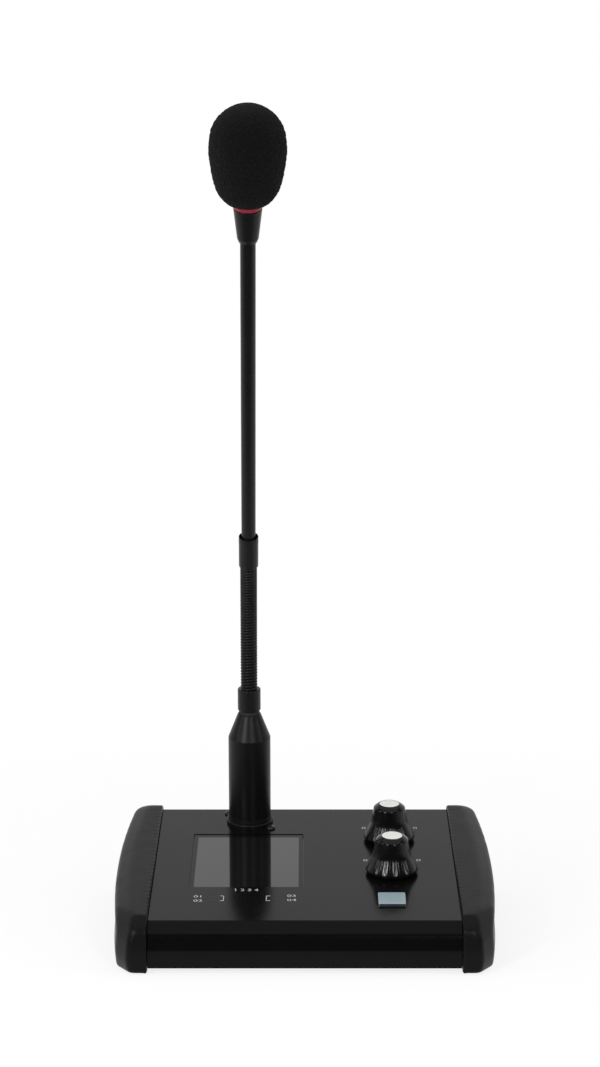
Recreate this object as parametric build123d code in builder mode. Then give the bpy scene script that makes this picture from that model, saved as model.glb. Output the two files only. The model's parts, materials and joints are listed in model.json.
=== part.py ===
"""A desktop paging microphone: a sloped console, two level knobs, a talk button and a gooseneck stem.

Millimetres. The origin is on the desk, under the middle of the whole with its leaning stem, a little ahead of
the console's own middle. X runs to the right, Y to the back and Z up. The panel plane carries what stands on
the panel, and the stem plane carries the stem.
"""
import os
from math import cos, pi, radians, sin, tan

from build123d import *

os.makedirs("parts", exist_ok=True)

# Console: panel, nose and tray
panel_slope = 8.0
fold_height = 23.2
fold_reach = 65.0
console_middle = 2.725
sheet = 1.2
tray_height = 2.5
seam = 0.15
nose_reach = 6.8
nose_height = 10.0
nose_tuck = 2.6
nose_shoulder_reach = 5.7
nose_shoulder_drop = 5.3
nose_belly_radius = 6.0
nose_shoulder_radius = 5.0
fold_radius = 1.6
back_fold_radius = 1.4
rear_flange = 8.0
overrun = 2.0

# Room between things, in rows across the console and along the panel
window_margin = 16.75
window_to_knobs = 41.3
knob_margin = 29.65
board_margin = 4.9
board_to_ballast = 7.5
ballast_margin = 3.4
foot_margin = 8.25
cover_screw_margin = 12.25
module_margin = 28.05
window_to_ring = 5.5
bracket_to_flange = 0.9
flange_to_back = 4.6
button_shift = -1.0
control_shift = 1.4
stem_shift = 0.2

# End caps
cap_raise = 2.4
cap_front_gap = 1.8
cap_foot_height = 0.3
cap_back_reach = 4.7
cap_middle_width = 18.1
cap_front_width = 14.9
cap_back_width = 13.2
cap_corner_width = 7.5
cap_corner_depth = 11.0
cap_back_corner = 8.0
cap_belly_height = 9.0
cap_belly_radius = 18.0
cap_waist_height = 16.5
cap_waist_radius = 9.0
cap_draft = 5.0
cap_lean = 2.0
cap_band_drop = 2.6
cap_band_width = 7.2
cap_edge_radius = 1.3
cap_crease_radius = 2.2
cap_inner_radius = 0.9
cap_wall = 3.0
cap_pocket = 8.5
cap_boss_diameter = 7.0
cap_screw_pitch = 49.0
cap_screw_height = 11.5
cap_nose_shoulder_drop = 4.6

# Small screws
screw_diameter = 2.9
screw_head_diameter = 5.4
screw_head_height = 1.6
screw_fit = 0.05
screw_hole_clearance = 0.2
cap_screw_length = 8.0
cover_screw_length = 6.0
cover_screw_pitch = 58.0

# Feet, ballast and main board
foot_diameter = 12.0
foot_pitch_x = 112.0
foot_pitch_y = 100.0
ballast_width = 44.0
ballast_depth = 104.0
ballast_thickness = 6.0
ballast_screw_pitch = 70.0
ballast_screw_diameter = 4.0
ballast_screw_head_diameter = 7.6
ballast_screw_head_height = 1.8
board_thickness = 1.6
board_width = 78.0
board_depth = 104.0
board_back_gap = 8.95
board_gap = 5.2
board_edge = 4.0
board_screw_length = 5.0
standoff_flats = 5.0
link_jack_inset = 22.0
link_jack_width = 16.0
link_jack_height = 13.4
link_jack_depth = 18.0
link_port_width = 11.8
link_port_height = 7.6
link_port_depth = 13.0
link_jack_reach = 1.2

# Display
window_width = 52.8
window_length = 63.7
window_corner = 0.8
glass_side_lap = 1.6
glass_end_lap = 2.65
glass_thickness = 1.1
module_width = 55.0
module_length = 76.0
module_thickness = 3.4
module_shift = 3.3
bracket_thickness = 1.0
bracket_margin = 6.0
display_post_diameter = 4.0
post_gap = 0.3
display_screw_diameter = 2.0
display_screw_head_diameter = 4.0
display_screw_head_height = 1.2
display_screw_length = 3.0

# Knobs and potentiometers
front_knob_v = 55.5
knob_spacing = 40.0
knob_height = 18.3
knob_skirt_diameter = 24.6
knob_rim_height = 1.6
knob_grip_diameter = 14.9
knob_shoulder_radius = 2.2
knob_gap = 0.5
knob_rim_chamfer = 0.4
flare_height_shares = (0.10, 0.32, 0.655)
flare_radius_shares = (0.90, 0.585, 0.175)
flute_count = 60
flute_depth = 0.35
flute_width_share = 0.5
knob_bore_depth = 12.0
knob_hollow_diameter = 13.6
knob_hollow_gap = 0.5
knob_cap_edge = 0.5
knob_cap_thickness = 1.1
knob_cap_rise = 0.1
shaft_diameter = 6.0
shaft_flat = 1.5
shaft_fit = 0.05
shaft_tail = 5.0
shaft_end_gap = 0.3
bushing_wall = 0.45
bushing_rise = 4.0
bushing_clearance = 0.15
pot_size = 16.5
pot_depth = 8.0
pot_corner = 1.0
washer_diameter = 11.0
washer_thickness = 0.5
nut_flats = 9.5
nut_thickness = 2.0

# Control board and talk button
control_v = 60.0
control_width = 44.0
control_length = 104.0
button_v = 21.9
button_size = 12.4
button_rise = 1.5
button_travel = 1.0
button_gap = 0.25
button_wall = 1.2
button_floor_gap = 0.2
button_corner = 0.6
button_edge_radius = 0.3
button_stem_diameter = 3.8
button_stem_fit = 0.08
button_stem_length = 6.4
switch_size = 12.0
switch_height = 4.6
spring_wall = 0.7
spring_gap = 0.4
cap_running_gap = 0.3

# Stem socket and plug, square to the panel
stem_turn = 2.0
socket_ring_wall = 1.65
socket_ring_height = 1.9
socket_ring_edge = 0.5
socket_wall = 0.85
socket_floor = 2.0
socket_flange_edge = 2.7
socket_flange_thickness = 1.8
socket_screw_gap = 0.3
socket_screw_angle = 42.0
socket_screw_head_diameter = 4.6
socket_screw_head_height = 1.2
socket_screw_diameter = 2.4
socket_screw_length = 5.0
shell_step = 0.7
shell_fit = 0.15
shell_wall = 1.5
shell_reach = 10.0
shell_end_gap = 2.0
insert_gap = 0.4
insert_face_gap = 0.9
contact_circle = 7.6
contact_wall = 0.3
pin_fit = 0.1
pin_diameter = 2.4
pin_length = 11.5
pin_tail = 3.0
plug_insert_height = 5.0
fit_gap = 0.05

# Pedestal, seal and sleeve
pedestal_diameter = 20.4
pedestal_top = 44.1
pedestal_foot_flare = 0.35
pedestal_foot_height = 2.2
pedestal_wall = 1.9
cone_top = 56.1
cone_top_diameter = 11.0
spigot_diameter = 6.4
spigot_length = 7.0
seal_height = 1.9
seal_diameter = 10.0
sleeve_diameter = 11.1
sleeve_length = 10.7
sleeve_chamfer = 0.5
lead_bore = 4.0

# Gooseneck
neck_length = 65.4
neck_straight = 7.6
neck_bend = 15.7
neck_diameter = 7.7
neck_bore = 4.4
neck_ribs = 44
rib_depth = 0.5
rib_place_shares = (0.07, 0.31, 0.69, 0.93)
rib_rise_shares = (0.0, 1.0, 1.0, 0.0)
neck_sides = 24
bore_runs = 4

# Collar, upper tube and head
collar_length = 16.1
collar_diameter = 8.85
collar_mouth_diameter = 9.3
collar_mouth_depth = 4.0
collar_mouth_wall = 0.25
collar_chamfer = 0.4
tube_visible_length = 151.9
tube_foot_diameter = 6.45
tube_head_diameter = 6.95
tube_wall = 0.8
tube_seat = 4.0
holder_length = 16.2
holder_foot_wall = 0.775
holder_shoulder = 1.9
holder_head_diameter = 12.0
holder_foot_bevel = 0.5
holder_seat = 6.0
ring_height = 2.2
ring_diameter = 11.8
housing_diameter = 8.0
housing_wall = 0.6
housing_length = 22.0
housing_seat = 5.0
housing_slot_width = 1.2
housing_slot_length = 9.0
housing_slots = 8
housing_mouth_diameter = 5.0
capsule_fit = 0.2
capsule_height = 5.0
foam_diameter = 33.9
foam_length = 45.0
foam_seat_diameter = 14.6
foam_gap = 0.3
foam_height_shares = (0.02, 0.105, 0.19, 0.31, 0.44, 0.56, 0.68, 0.76, 0.835, 0.91, 0.975)
foam_radius_shares = (0.58, 0.765, 0.855, 0.93, 0.975, 1.0, 0.97, 0.915, 0.81, 0.63, 0.34)

# The stem's foot, from the pedestal outwards
shell_diameter = pedestal_diameter - 2 * shell_step
socket_barrel_diameter = shell_diameter + 2 * (shell_fit + socket_wall)
socket_ring_diameter = shell_diameter + 2 * (shell_fit + socket_ring_wall)
socket_depth = shell_reach + shell_end_gap + socket_floor
socket_screw_circle = (socket_ring_diameter + socket_screw_head_diameter) / 2 + socket_screw_gap
socket_screw_x = socket_screw_circle * cos(radians(socket_screw_angle))
socket_screw_v = socket_screw_circle * sin(radians(socket_screw_angle))
socket_flange_width = 2 * (socket_screw_x + socket_flange_edge)
socket_flange_length = 2 * (socket_screw_v + socket_flange_edge)

# The panel is as wide as the widest row across the console, whose ends keep their distance from its edges
panel_row = window_margin + window_width + window_to_knobs + knob_margin
floor_row = board_margin + board_width + board_to_ballast + ballast_width + ballast_margin
floor_row += 2 * (sheet + seam)
foot_row = 2 * foot_margin + foot_pitch_x + foot_diameter
cover_screw_row = 2 * (cover_screw_margin + cover_screw_pitch)
panel_width = max(panel_row, floor_row, foot_row, cover_screw_row)
cover_half = panel_width / 2 - seam
wall_inside = cover_half - sheet
display_x = window_margin + (window_width - panel_width) / 2
stem_x = display_x + stem_shift
knob_x = panel_width / 2 - knob_margin
button_x = knob_x + button_shift
control_x = knob_x + control_shift
board_x = board_margin + board_width / 2 - wall_inside
link_jack_x = board_x + board_width / 2 - link_jack_inset
ballast_x = wall_inside - ballast_margin - ballast_width / 2

# Along the panel, the stem stands behind the window and the display's bracket
glass_width = window_width + 2 * glass_side_lap
glass_length = window_length + 2 * glass_end_lap
bracket_length = module_length - display_post_diameter + bracket_margin
module_v = module_margin + module_length / 2
display_v = module_v + module_shift
behind_window = display_v + (window_length + socket_ring_diameter) / 2 + window_to_ring
behind_bracket = module_v + (bracket_length + socket_flange_length) / 2 + bracket_to_flange
stem_v = max(behind_window, behind_bracket)
panel_length = stem_v + socket_flange_length / 2 + flange_to_back

slope = radians(panel_slope)
fold_y = console_middle - fold_reach
panel = Plane(origin=(0, fold_y, fold_height), x_dir=(1, 0, 0), z_dir=(0, -sin(slope), cos(slope)))
panel_back = panel.from_local_coords((0, panel_length, 0))
desk = Plane((0, console_middle, 0))
button_place = Plane(panel.location * Location((button_x, button_v, 0)))
stem = Plane(panel.location * Location((stem_x, stem_v, 0), (0, 0, stem_turn)))


def upright(frame):
    """The plane that holds a frame's axis, with its local x across and its local y along the axis."""
    return Plane(origin=frame.origin, x_dir=frame.x_dir, z_dir=-frame.y_dir)


def axis_of(frame):
    """The axis that a turned piece on a frame goes round."""
    return Axis(frame.origin, frame.z_dir)


def write(piece, name):
    """Labels a finished piece and writes it."""
    piece.label = name
    export_step(piece, f"parts/{name}.step")


def side_outline(lift, ahead, bottom, shoulder_drop):
    """The console's side view, from the nose's bottom to the panel's back, moved out by two amounts."""
    rise = lift / cos(slope)
    back_y = panel_back.Y + ahead
    nose_y = fold_y - nose_reach - ahead
    return [
        (nose_y + nose_tuck, bottom),
        (nose_y, nose_height),
        (fold_y - nose_shoulder_reach - ahead, fold_height + rise - shoulder_drop),
        (fold_y, fold_height + rise),
        (back_y, panel_back.Z + rise + ahead * tan(slope)),
    ]


# Top cover: one bent sheet with the nose, the panel and the rear flange
bushing_diameter = shaft_diameter + 2 * (shaft_fit + bushing_wall)
with BuildPart() as top_cover:
    with BuildSketch(Plane.YZ):
        with BuildLine():
            cover_points = side_outline(0, 0, tray_height, nose_shoulder_drop)
            cover_points.append((panel_back.Y, panel_back.Z - rear_flange))
            FilletPolyline(
                *cover_points,
                radius=[nose_belly_radius, nose_shoulder_radius, fold_radius, back_fold_radius],
            )
            offset(amount=sheet, side=Side.RIGHT)
        make_face()
    extrude(amount=cover_half, both=True)
    with BuildSketch(panel):
        with Locations((display_x, display_v)):
            RectangleRounded(window_width, window_length, window_corner)
        with Locations((knob_x, front_knob_v), (knob_x, front_knob_v + knob_spacing)):
            Circle(bushing_diameter / 2 + bushing_clearance)
        with Locations((button_x, button_v)):
            Rectangle(button_size + 2 * button_gap, button_size + 2 * button_gap)
        with Locations((stem_x, stem_v)):
            Circle(socket_barrel_diameter / 2 + screw_hole_clearance)
        with Locations((stem_x - socket_screw_x, stem_v + socket_screw_v)):
            Circle(socket_screw_diameter / 2 + screw_hole_clearance)
        with Locations((stem_x + socket_screw_x, stem_v - socket_screw_v)):
            Circle(socket_screw_diameter / 2 + screw_hole_clearance)
    extrude(amount=overrun, both=True, mode=Mode.SUBTRACT)
    flange_middle = panel_back.Z - rear_flange / 2
    with BuildSketch(Plane.XZ.offset(-panel_back.Y)):
        with Locations((0, flange_middle)):
            with GridLocations(cover_screw_pitch, 0, 3, 1):
                Circle(screw_diameter / 2 + screw_hole_clearance)
    extrude(amount=overrun, both=True, mode=Mode.SUBTRACT)
write(top_cover.part, "top_cover")

# Base tray: floor, two side walls under the panel and a rear wall behind the cover's flange
wall_drop = (sheet + seam) / cos(slope)
tray_back = panel_back.Y - sheet - seam
tray_nose = fold_y - nose_reach + nose_tuck + sheet + seam
wall_front = fold_y + sheet
wall_front_z = fold_height - wall_drop + sheet * tan(slope)
wall_back_z = wall_front_z + (tray_back - wall_front) * tan(slope)
rear_wall_top = wall_back_z - sheet * tan(slope)
with BuildPart() as base_tray:
    with BuildSketch(Plane.XY.offset(tray_height)):
        with BuildLine():
            Polyline(
                (-cover_half, tray_nose), (cover_half, tray_nose),
                (cover_half, tray_back), (-cover_half, tray_back), close=True,
            )
        make_face()
    extrude(amount=sheet)
    for side in (-1, 1):
        with BuildSketch(Plane.YZ.offset(side * (cover_half - sheet / 2))):
            with BuildLine():
                Polyline(
                    (wall_front, tray_height), (wall_front, wall_front_z),
                    (tray_back, wall_back_z), (tray_back, tray_height), close=True,
                )
            make_face()
        extrude(amount=sheet / 2, both=True)
    with BuildSketch(Plane.XZ.offset(-tray_back)):
        with BuildLine():
            Polyline(
                (-cover_half, tray_height), (cover_half, tray_height),
                (cover_half, rear_wall_top), (-cover_half, rear_wall_top), close=True,
            )
        make_face()
    extrude(amount=sheet)
    board_top = tray_height + sheet + board_gap + board_thickness
    with BuildSketch(Plane.XZ.offset(-tray_back)):
        with Locations((link_jack_x, board_top + link_jack_height / 2)):
            Rectangle(link_jack_width + 2 * screw_hole_clearance, link_jack_height + 2 * screw_hole_clearance)
        with Locations((0, flange_middle)):
            with GridLocations(cover_screw_pitch, 0, 3, 1):
                Circle(screw_diameter / 2 + screw_fit)
    extrude(amount=overrun, both=True, mode=Mode.SUBTRACT)
    with BuildSketch(Plane.YZ):
        with Locations((console_middle, cap_screw_height)):
            with GridLocations(cap_screw_pitch, 0, 3, 1):
                Circle(screw_diameter / 2 + screw_hole_clearance)
    extrude(amount=cover_half + overrun, both=True, mode=Mode.SUBTRACT)
    with BuildSketch(desk.offset(tray_height)):
        with Locations((ballast_x, 0)):
            with GridLocations(0, ballast_screw_pitch, 1, 2):
                Circle(ballast_screw_diameter / 2 + screw_hole_clearance)
    extrude(amount=overrun, both=True, mode=Mode.SUBTRACT)
write(base_tray.part, "base_tray")

# End caps: hollow mouldings, bulged in plan and waisted in height, with a sloping outer band and bosses
# for their screws. The left one mirrors the right one
cap_inner = panel_width / 2
cap_front = fold_y - nose_reach - cap_front_gap
cap_back = panel_back.Y + cap_back_reach
cap_long_edges = 9
cap_boss_places = [(console_middle + place * cap_screw_pitch, cap_screw_height) for place in (-1, 0, 1)]
cap_points = side_outline(cap_raise, cap_front_gap, cap_foot_height, cap_nose_shoulder_drop)
top_back_z = cap_points[3][1] + (cap_back - fold_y) * tan(slope)
cap_points[-1] = (cap_back, top_back_z)
inside = cap_inner - overrun
flat_end = (cap_inner + cap_front_width - cap_corner_width, cap_front - overrun)
front_corner = (cap_inner + cap_front_width, cap_front + cap_corner_depth)
back_corner = (cap_inner + cap_back_width, cap_back)
bulge_point = (cap_inner + cap_middle_width, console_middle)

with BuildPart() as right_end_cap:
    with BuildSketch(Plane.XY.offset(cap_belly_height)) as plan:
        with BuildLine():
            Polyline(back_corner, (inside, cap_back), (inside, cap_front - overrun), flat_end, front_corner)
            ThreePointArc(front_corner, bulge_point, back_corner)
        make_face()
        fillet(plan.vertices().sort_by(Axis.Y)[-2:].sort_by(Axis.X)[-1], cap_back_corner)
    extrude(amount=cap_foot_height - cap_belly_height, taper=cap_draft)
    extrude(plan.sketch, amount=cap_waist_height - cap_belly_height, taper=cap_draft)
    extrude(right_end_cap.faces().sort_by(Axis.Z)[-1], amount=top_back_z, taper=-cap_lean)
    for height, radius in ((cap_belly_height, cap_belly_radius), (cap_waist_height, cap_waist_radius)):
        level = right_end_cap.edges().filter_by_position(Axis.Z, height - fit_gap, height + fit_gap)
        fillet(level, radius)
    split(bisect_by=panel.offset(cap_raise), keep=Keep.BOTTOM)
    split(bisect_by=Plane.YZ.offset(cap_inner))
    top = right_end_cap.faces().sort_by(axis_of(panel))[-1]
    bulge = top.edges().sort_by(SortBy.LENGTH)[-2]
    chamfer(bulge, length=cap_band_width, length2=cap_band_drop, reference=top)
    for radius, place in ((cap_edge_radius, -2), (cap_crease_radius, -1)):
        long_edges = right_end_cap.edges().sort_by(SortBy.LENGTH)[-cap_long_edges:]
        outer = long_edges.filter_by(lambda edge: edge.center().X > cap_inner + fit_gap)
        fillet(outer.sort_by(axis_of(panel))[place], radius)
    with BuildSketch(Plane.YZ):
        with BuildLine():
            outline = FilletPolyline(
                *cap_points,
                radius=[nose_belly_radius, nose_shoulder_radius, fold_radius],
            )
            Polyline(outline @ 1, (cap_back, cap_foot_height), outline @ 0)
        make_face()
    extrude(amount=cap_inner + 2 * cap_middle_width, mode=Mode.INTERSECT)
    rim = right_end_cap.faces().sort_by(Axis.X)[0].edges()
    rim = rim.filter_by(lambda edge: edge.center().Z > cap_foot_height + fit_gap)
    fillet(rim.filter_by(lambda edge: edge.center().Y < cap_back - fit_gap), cap_inner_radius)
    with BuildSketch(Plane.YZ.offset(cap_inner)):
        with BuildLine():
            inner_line = FilletPolyline(
                *cap_points,
                radius=[nose_belly_radius, nose_shoulder_radius, fold_radius],
            )
            Polyline(inner_line @ 1, (cap_back, cap_foot_height), inner_line @ 0)
        make_face()
        offset(amount=-cap_wall, kind=Kind.INTERSECTION)
    extrude(amount=cap_pocket, mode=Mode.SUBTRACT)
    with BuildSketch(Plane.YZ.offset(cap_inner)):
        with Locations(*cap_boss_places):
            Circle(cap_boss_diameter / 2)
    extrude(amount=cap_pocket + fit_gap)
    with BuildSketch(Plane.YZ.offset(cap_inner)):
        with Locations(*cap_boss_places):
            Circle(screw_diameter / 2 + screw_fit)
    extrude(amount=cap_screw_length, mode=Mode.SUBTRACT)
write(right_end_cap.part, "right_end_cap")

with BuildPart() as left_end_cap:
    add(right_end_cap.part)
    mirror(about=Plane.YZ, mode=Mode.REPLACE)
write(left_end_cap.part, "left_end_cap")

with BuildPart() as end_cap_screws:
    for side in (-1, 1):
        with BuildSketch(Plane.YZ.offset(side * wall_inside)):
            with Locations(*cap_boss_places):
                Circle(screw_head_diameter / 2)
        extrude(amount=-side * screw_head_height)
        with BuildSketch(Plane.YZ.offset(side * wall_inside)):
            with Locations(*cap_boss_places):
                Circle(screw_diameter / 2)
        extrude(amount=side * cap_screw_length)
write(end_cap_screws.part, "end_cap_screws")

with BuildPart() as cover_screws:
    for reach, radius in (
        (screw_head_height, screw_head_diameter / 2),
        (-cover_screw_length, screw_diameter / 2),
    ):
        with BuildSketch(Plane.XZ.offset(-panel_back.Y)):
            with Locations((0, flange_middle)):
                with GridLocations(cover_screw_pitch, 0, 3, 1):
                    Circle(radius)
        extrude(amount=-reach)
write(cover_screws.part, "cover_screws")

# Rubber feet: four discs, glued under the floor
with BuildPart() as rubber_feet:
    with BuildSketch(desk):
        with GridLocations(foot_pitch_x, foot_pitch_y, 2, 2):
            Circle(foot_diameter / 2)
    extrude(amount=tray_height)
write(rubber_feet.part, "rubber_feet")

# Ballast: a steel plate on the floor, held by two countersunk screws from below
floor_top = tray_height + sheet
with BuildPart() as ballast_plate:
    with BuildSketch(desk.offset(floor_top)):
        with Locations((ballast_x, 0)):
            Rectangle(ballast_width, ballast_depth)
            with GridLocations(0, ballast_screw_pitch, 1, 2):
                Circle(ballast_screw_diameter / 2 + screw_fit, mode=Mode.SUBTRACT)
    extrude(amount=ballast_thickness)
write(ballast_plate.part, "ballast_plate")

with BuildPart() as ballast_screws:
    with BuildSketch(desk.offset(tray_height)):
        with Locations((ballast_x, 0)):
            with GridLocations(0, ballast_screw_pitch, 1, 2):
                Circle(ballast_screw_diameter / 2)
    extrude(amount=ballast_thickness)
    with BuildSketch(desk.offset(tray_height)):
        with Locations((ballast_x, 0)):
            with GridLocations(0, ballast_screw_pitch, 1, 2):
                Circle(ballast_screw_head_diameter / 2)
    extrude(amount=-ballast_screw_head_height)
write(ballast_screws.part, "ballast_screws")

# Main board on four standoffs, with the link jack at its back edge
board_y = tray_back - sheet - board_back_gap - board_depth / 2
board_corners_x = board_width - 2 * board_edge
board_corners_y = board_depth - 2 * board_edge
with BuildPart() as board_standoffs:
    with BuildSketch(Plane.XY.offset(floor_top)):
        with Locations((board_x, board_y)):
            with GridLocations(board_corners_x, board_corners_y, 2, 2):
                RegularPolygon(standoff_flats / 2, 6, major_radius=False)
                Circle(screw_diameter / 2 + screw_fit, mode=Mode.SUBTRACT)
    extrude(amount=board_gap)
write(board_standoffs.part, "board_standoffs")

with BuildPart() as main_board:
    with BuildSketch(Plane.XY.offset(floor_top + board_gap)):
        with Locations((board_x, board_y)):
            Rectangle(board_width, board_depth)
            with GridLocations(board_corners_x, board_corners_y, 2, 2):
                Circle(screw_diameter / 2 + screw_hole_clearance, mode=Mode.SUBTRACT)
    extrude(amount=board_thickness)
write(main_board.part, "main_board")

with BuildPart() as board_screws:
    for reach, radius in (
        (screw_head_height, screw_head_diameter / 2),
        (-board_screw_length, screw_diameter / 2),
    ):
        with BuildSketch(Plane.XY.offset(board_top)):
            with Locations((board_x, board_y)):
                with GridLocations(board_corners_x, board_corners_y, 2, 2):
                    Circle(radius)
        extrude(amount=reach)
write(board_screws.part, "board_screws")

jack_back = tray_back + link_jack_reach
jack_middle = board_top + link_jack_height / 2
with BuildPart() as link_jack:
    with BuildSketch(Plane.XZ.offset(-jack_back)):
        with Locations((link_jack_x, jack_middle)):
            Rectangle(link_jack_width, link_jack_height)
    extrude(amount=link_jack_depth)
    with BuildSketch(Plane.XZ.offset(-jack_back)):
        with Locations((link_jack_x, jack_middle)):
            Rectangle(link_port_width, link_port_height)
    extrude(amount=link_port_depth, mode=Mode.SUBTRACT)
write(link_jack.part, "link_jack")

# Display: glass against the underside of the panel, module, bracket, posts and screws
display = Plane(panel.location * Location((display_x, display_v - module_shift, -sheet)))
module_top = -glass_thickness
bracket_top = module_top - module_thickness
with BuildPart() as display_window:
    with BuildSketch(display):
        with Locations((0, module_shift)):
            Rectangle(glass_width, glass_length)
    extrude(amount=-glass_thickness)
write(display_window.part, "display_window")

with BuildPart() as display_module:
    with BuildSketch(display.offset(module_top)):
        Rectangle(module_width, module_length)
    extrude(amount=-module_thickness)
write(display_module.part, "display_module")

post_pitch_x = max(glass_width, module_width) + display_post_diameter + 2 * post_gap
post_pitch_v = bracket_length - bracket_margin
with BuildPart() as display_bracket:
    with BuildSketch(display.offset(bracket_top)):
        Rectangle(post_pitch_x + bracket_margin, bracket_length)
        with GridLocations(post_pitch_x, post_pitch_v, 2, 2):
            Circle(display_screw_diameter / 2 + screw_hole_clearance, mode=Mode.SUBTRACT)
    extrude(amount=-bracket_thickness)
write(display_bracket.part, "display_bracket")

with BuildPart() as display_posts:
    with BuildSketch(display):
        with GridLocations(post_pitch_x, post_pitch_v, 2, 2):
            Circle(display_post_diameter / 2)
            Circle(display_screw_diameter / 2 + screw_fit, mode=Mode.SUBTRACT)
    extrude(amount=bracket_top)
write(display_posts.part, "display_posts")

with BuildPart() as display_screws:
    for reach, radius in (
        (-display_screw_head_height, display_screw_head_diameter / 2),
        (display_screw_length, display_screw_diameter / 2),
    ):
        with BuildSketch(display.offset(bracket_top - bracket_thickness)):
            with GridLocations(post_pitch_x, post_pitch_v, 2, 2):
                Circle(radius)
        extrude(amount=reach)
write(display_screws.part, "display_screws")

# Potentiometers: body and bushing, turning shaft with a flat, washer and nut
pot_floor = -sheet - pot_depth
knob_places = {
    "front": Plane(panel.location * Location((knob_x, front_knob_v, 0))),
    "rear": Plane(panel.location * Location((knob_x, front_knob_v + knob_spacing, 0))),
}
shaft_top = knob_gap + knob_bore_depth - shaft_fit

for name, place in knob_places.items():
    with BuildPart() as pot:
        with BuildSketch(place.offset(pot_floor)):
            RectangleRounded(pot_size, pot_size, pot_corner)
        extrude(amount=pot_depth)
        with BuildSketch(place.offset(-sheet)):
            Circle(bushing_diameter / 2)
        extrude(amount=sheet + bushing_rise)
        with BuildSketch(place.offset(bushing_rise)):
            Circle(shaft_diameter / 2 + shaft_fit)
        extrude(amount=-(bushing_rise + sheet + shaft_tail + shaft_end_gap), mode=Mode.SUBTRACT)
    write(pot.part, f"{name}_potentiometer")

    with BuildPart() as shaft:
        with BuildSketch(place.offset(-sheet - shaft_tail)):
            Circle(shaft_diameter / 2)
        extrude(amount=bushing_rise + sheet + shaft_tail)
        with BuildSketch(place.offset(bushing_rise)):
            Circle(shaft_diameter / 2)
            with Locations((0, shaft_diameter - shaft_flat)):
                Rectangle(shaft_diameter, shaft_diameter, mode=Mode.SUBTRACT)
        extrude(amount=shaft_top - bushing_rise)
    write(shaft.part, f"{name}_potentiometer_shaft")

with BuildPart() as washers:
    for place in knob_places.values():
        with BuildSketch(place):
            Circle(washer_diameter / 2)
            Circle(bushing_diameter / 2 + screw_fit, mode=Mode.SUBTRACT)
        extrude(amount=washer_thickness)
write(washers.part, "potentiometer_washers")

with BuildPart() as nuts:
    for place in knob_places.values():
        with BuildSketch(place.offset(washer_thickness)):
            RegularPolygon(nut_flats / 2, 6, major_radius=False)
            Circle(bushing_diameter / 2 + screw_fit, mode=Mode.SUBTRACT)
        extrude(amount=nut_thickness)
write(nuts.part, "potentiometer_nuts")

# Knobs: a flared, fluted grip with a smooth rim, hollow below, and a pale disc in the top
knob_shoulder_height = knob_height - knob_shoulder_radius
knob_top_diameter = knob_grip_diameter - 2 * knob_shoulder_radius
knob_hollow_depth = bushing_rise - knob_gap + knob_hollow_gap
knob_cap_diameter = knob_top_diameter - 2 * knob_cap_edge
skirt_radius = knob_skirt_diameter / 2
grip_radius = knob_grip_diameter / 2
flare_height = knob_shoulder_height - knob_rim_height
flare_width = skirt_radius - grip_radius
flare_points = [(skirt_radius, knob_rim_height)]
for height_share, radius_share in zip(flare_height_shares, flare_radius_shares):
    flare_points.append(
        (grip_radius + radius_share * flare_width, knob_rim_height + height_share * flare_height)
    )
flare_points.append((grip_radius, knob_shoulder_height))
groove_floor = [flare_points[1]] + [(radius - flute_depth, height) for radius, height in flare_points[2:]]
groove_mouth = [(radius + flute_depth, height) for radius, height in reversed(flare_points[1:])]
flute_pitch = 360 / flute_count

with BuildPart() as flute:
    with BuildSketch(upright(Plane.XY)):
        with BuildLine():
            Polyline(*groove_floor, *groove_mouth, close=True)
        make_face()
    revolve(axis=Axis.Z, revolution_arc=flute_pitch * flute_width_share)

with BuildPart() as knob:
    with BuildSketch(upright(Plane.XY)):
        with BuildLine():
            shoulder = JernArc((grip_radius, knob_shoulder_height), (0, 1), knob_shoulder_radius, 90)
            Polyline(
                shoulder @ 1, (0, knob_height), (0, 0), (skirt_radius - knob_rim_chamfer, 0),
                (skirt_radius, knob_rim_chamfer), *flare_points,
            )
        make_face()
    revolve(axis=Axis.Z)
    with PolarLocations(0, flute_count):
        add(flute.part, mode=Mode.SUBTRACT)
    with BuildSketch(Plane.XY.offset(knob_height)):
        Circle(knob_cap_diameter / 2 + fit_gap)
    extrude(amount=-(knob_cap_thickness - knob_cap_rise), mode=Mode.SUBTRACT)
    with BuildSketch(Plane.XY):
        Circle(knob_hollow_diameter / 2)
    extrude(amount=knob_hollow_depth, mode=Mode.SUBTRACT)
    with BuildSketch(Plane.XY):
        Circle(shaft_diameter / 2 + shaft_fit)
        with Locations((0, shaft_diameter - shaft_flat + 2 * shaft_fit)):
            Rectangle(shaft_diameter, shaft_diameter, mode=Mode.SUBTRACT)
    extrude(amount=knob_bore_depth, mode=Mode.SUBTRACT)

for name, place in knob_places.items():
    frame = place.offset(knob_gap)
    with BuildPart(frame) as placed_knob:
        add(knob.part)
    write(placed_knob.part, f"{name}_knob")

    with BuildPart() as knob_cap:
        with BuildSketch(frame.offset(knob_height + knob_cap_rise)):
            Circle(knob_cap_diameter / 2)
        extrude(amount=-knob_cap_thickness)
    write(knob_cap.part, f"{name}_knob_cap")

# Control board under the potentiometers, and the talk button on its sprung switch
with BuildPart() as control_board:
    with BuildSketch(panel.offset(pot_floor)):
        with Locations((control_x, control_v)):
            Rectangle(control_width, control_length)
    extrude(amount=-board_thickness)
write(control_board.part, "control_board")

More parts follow.
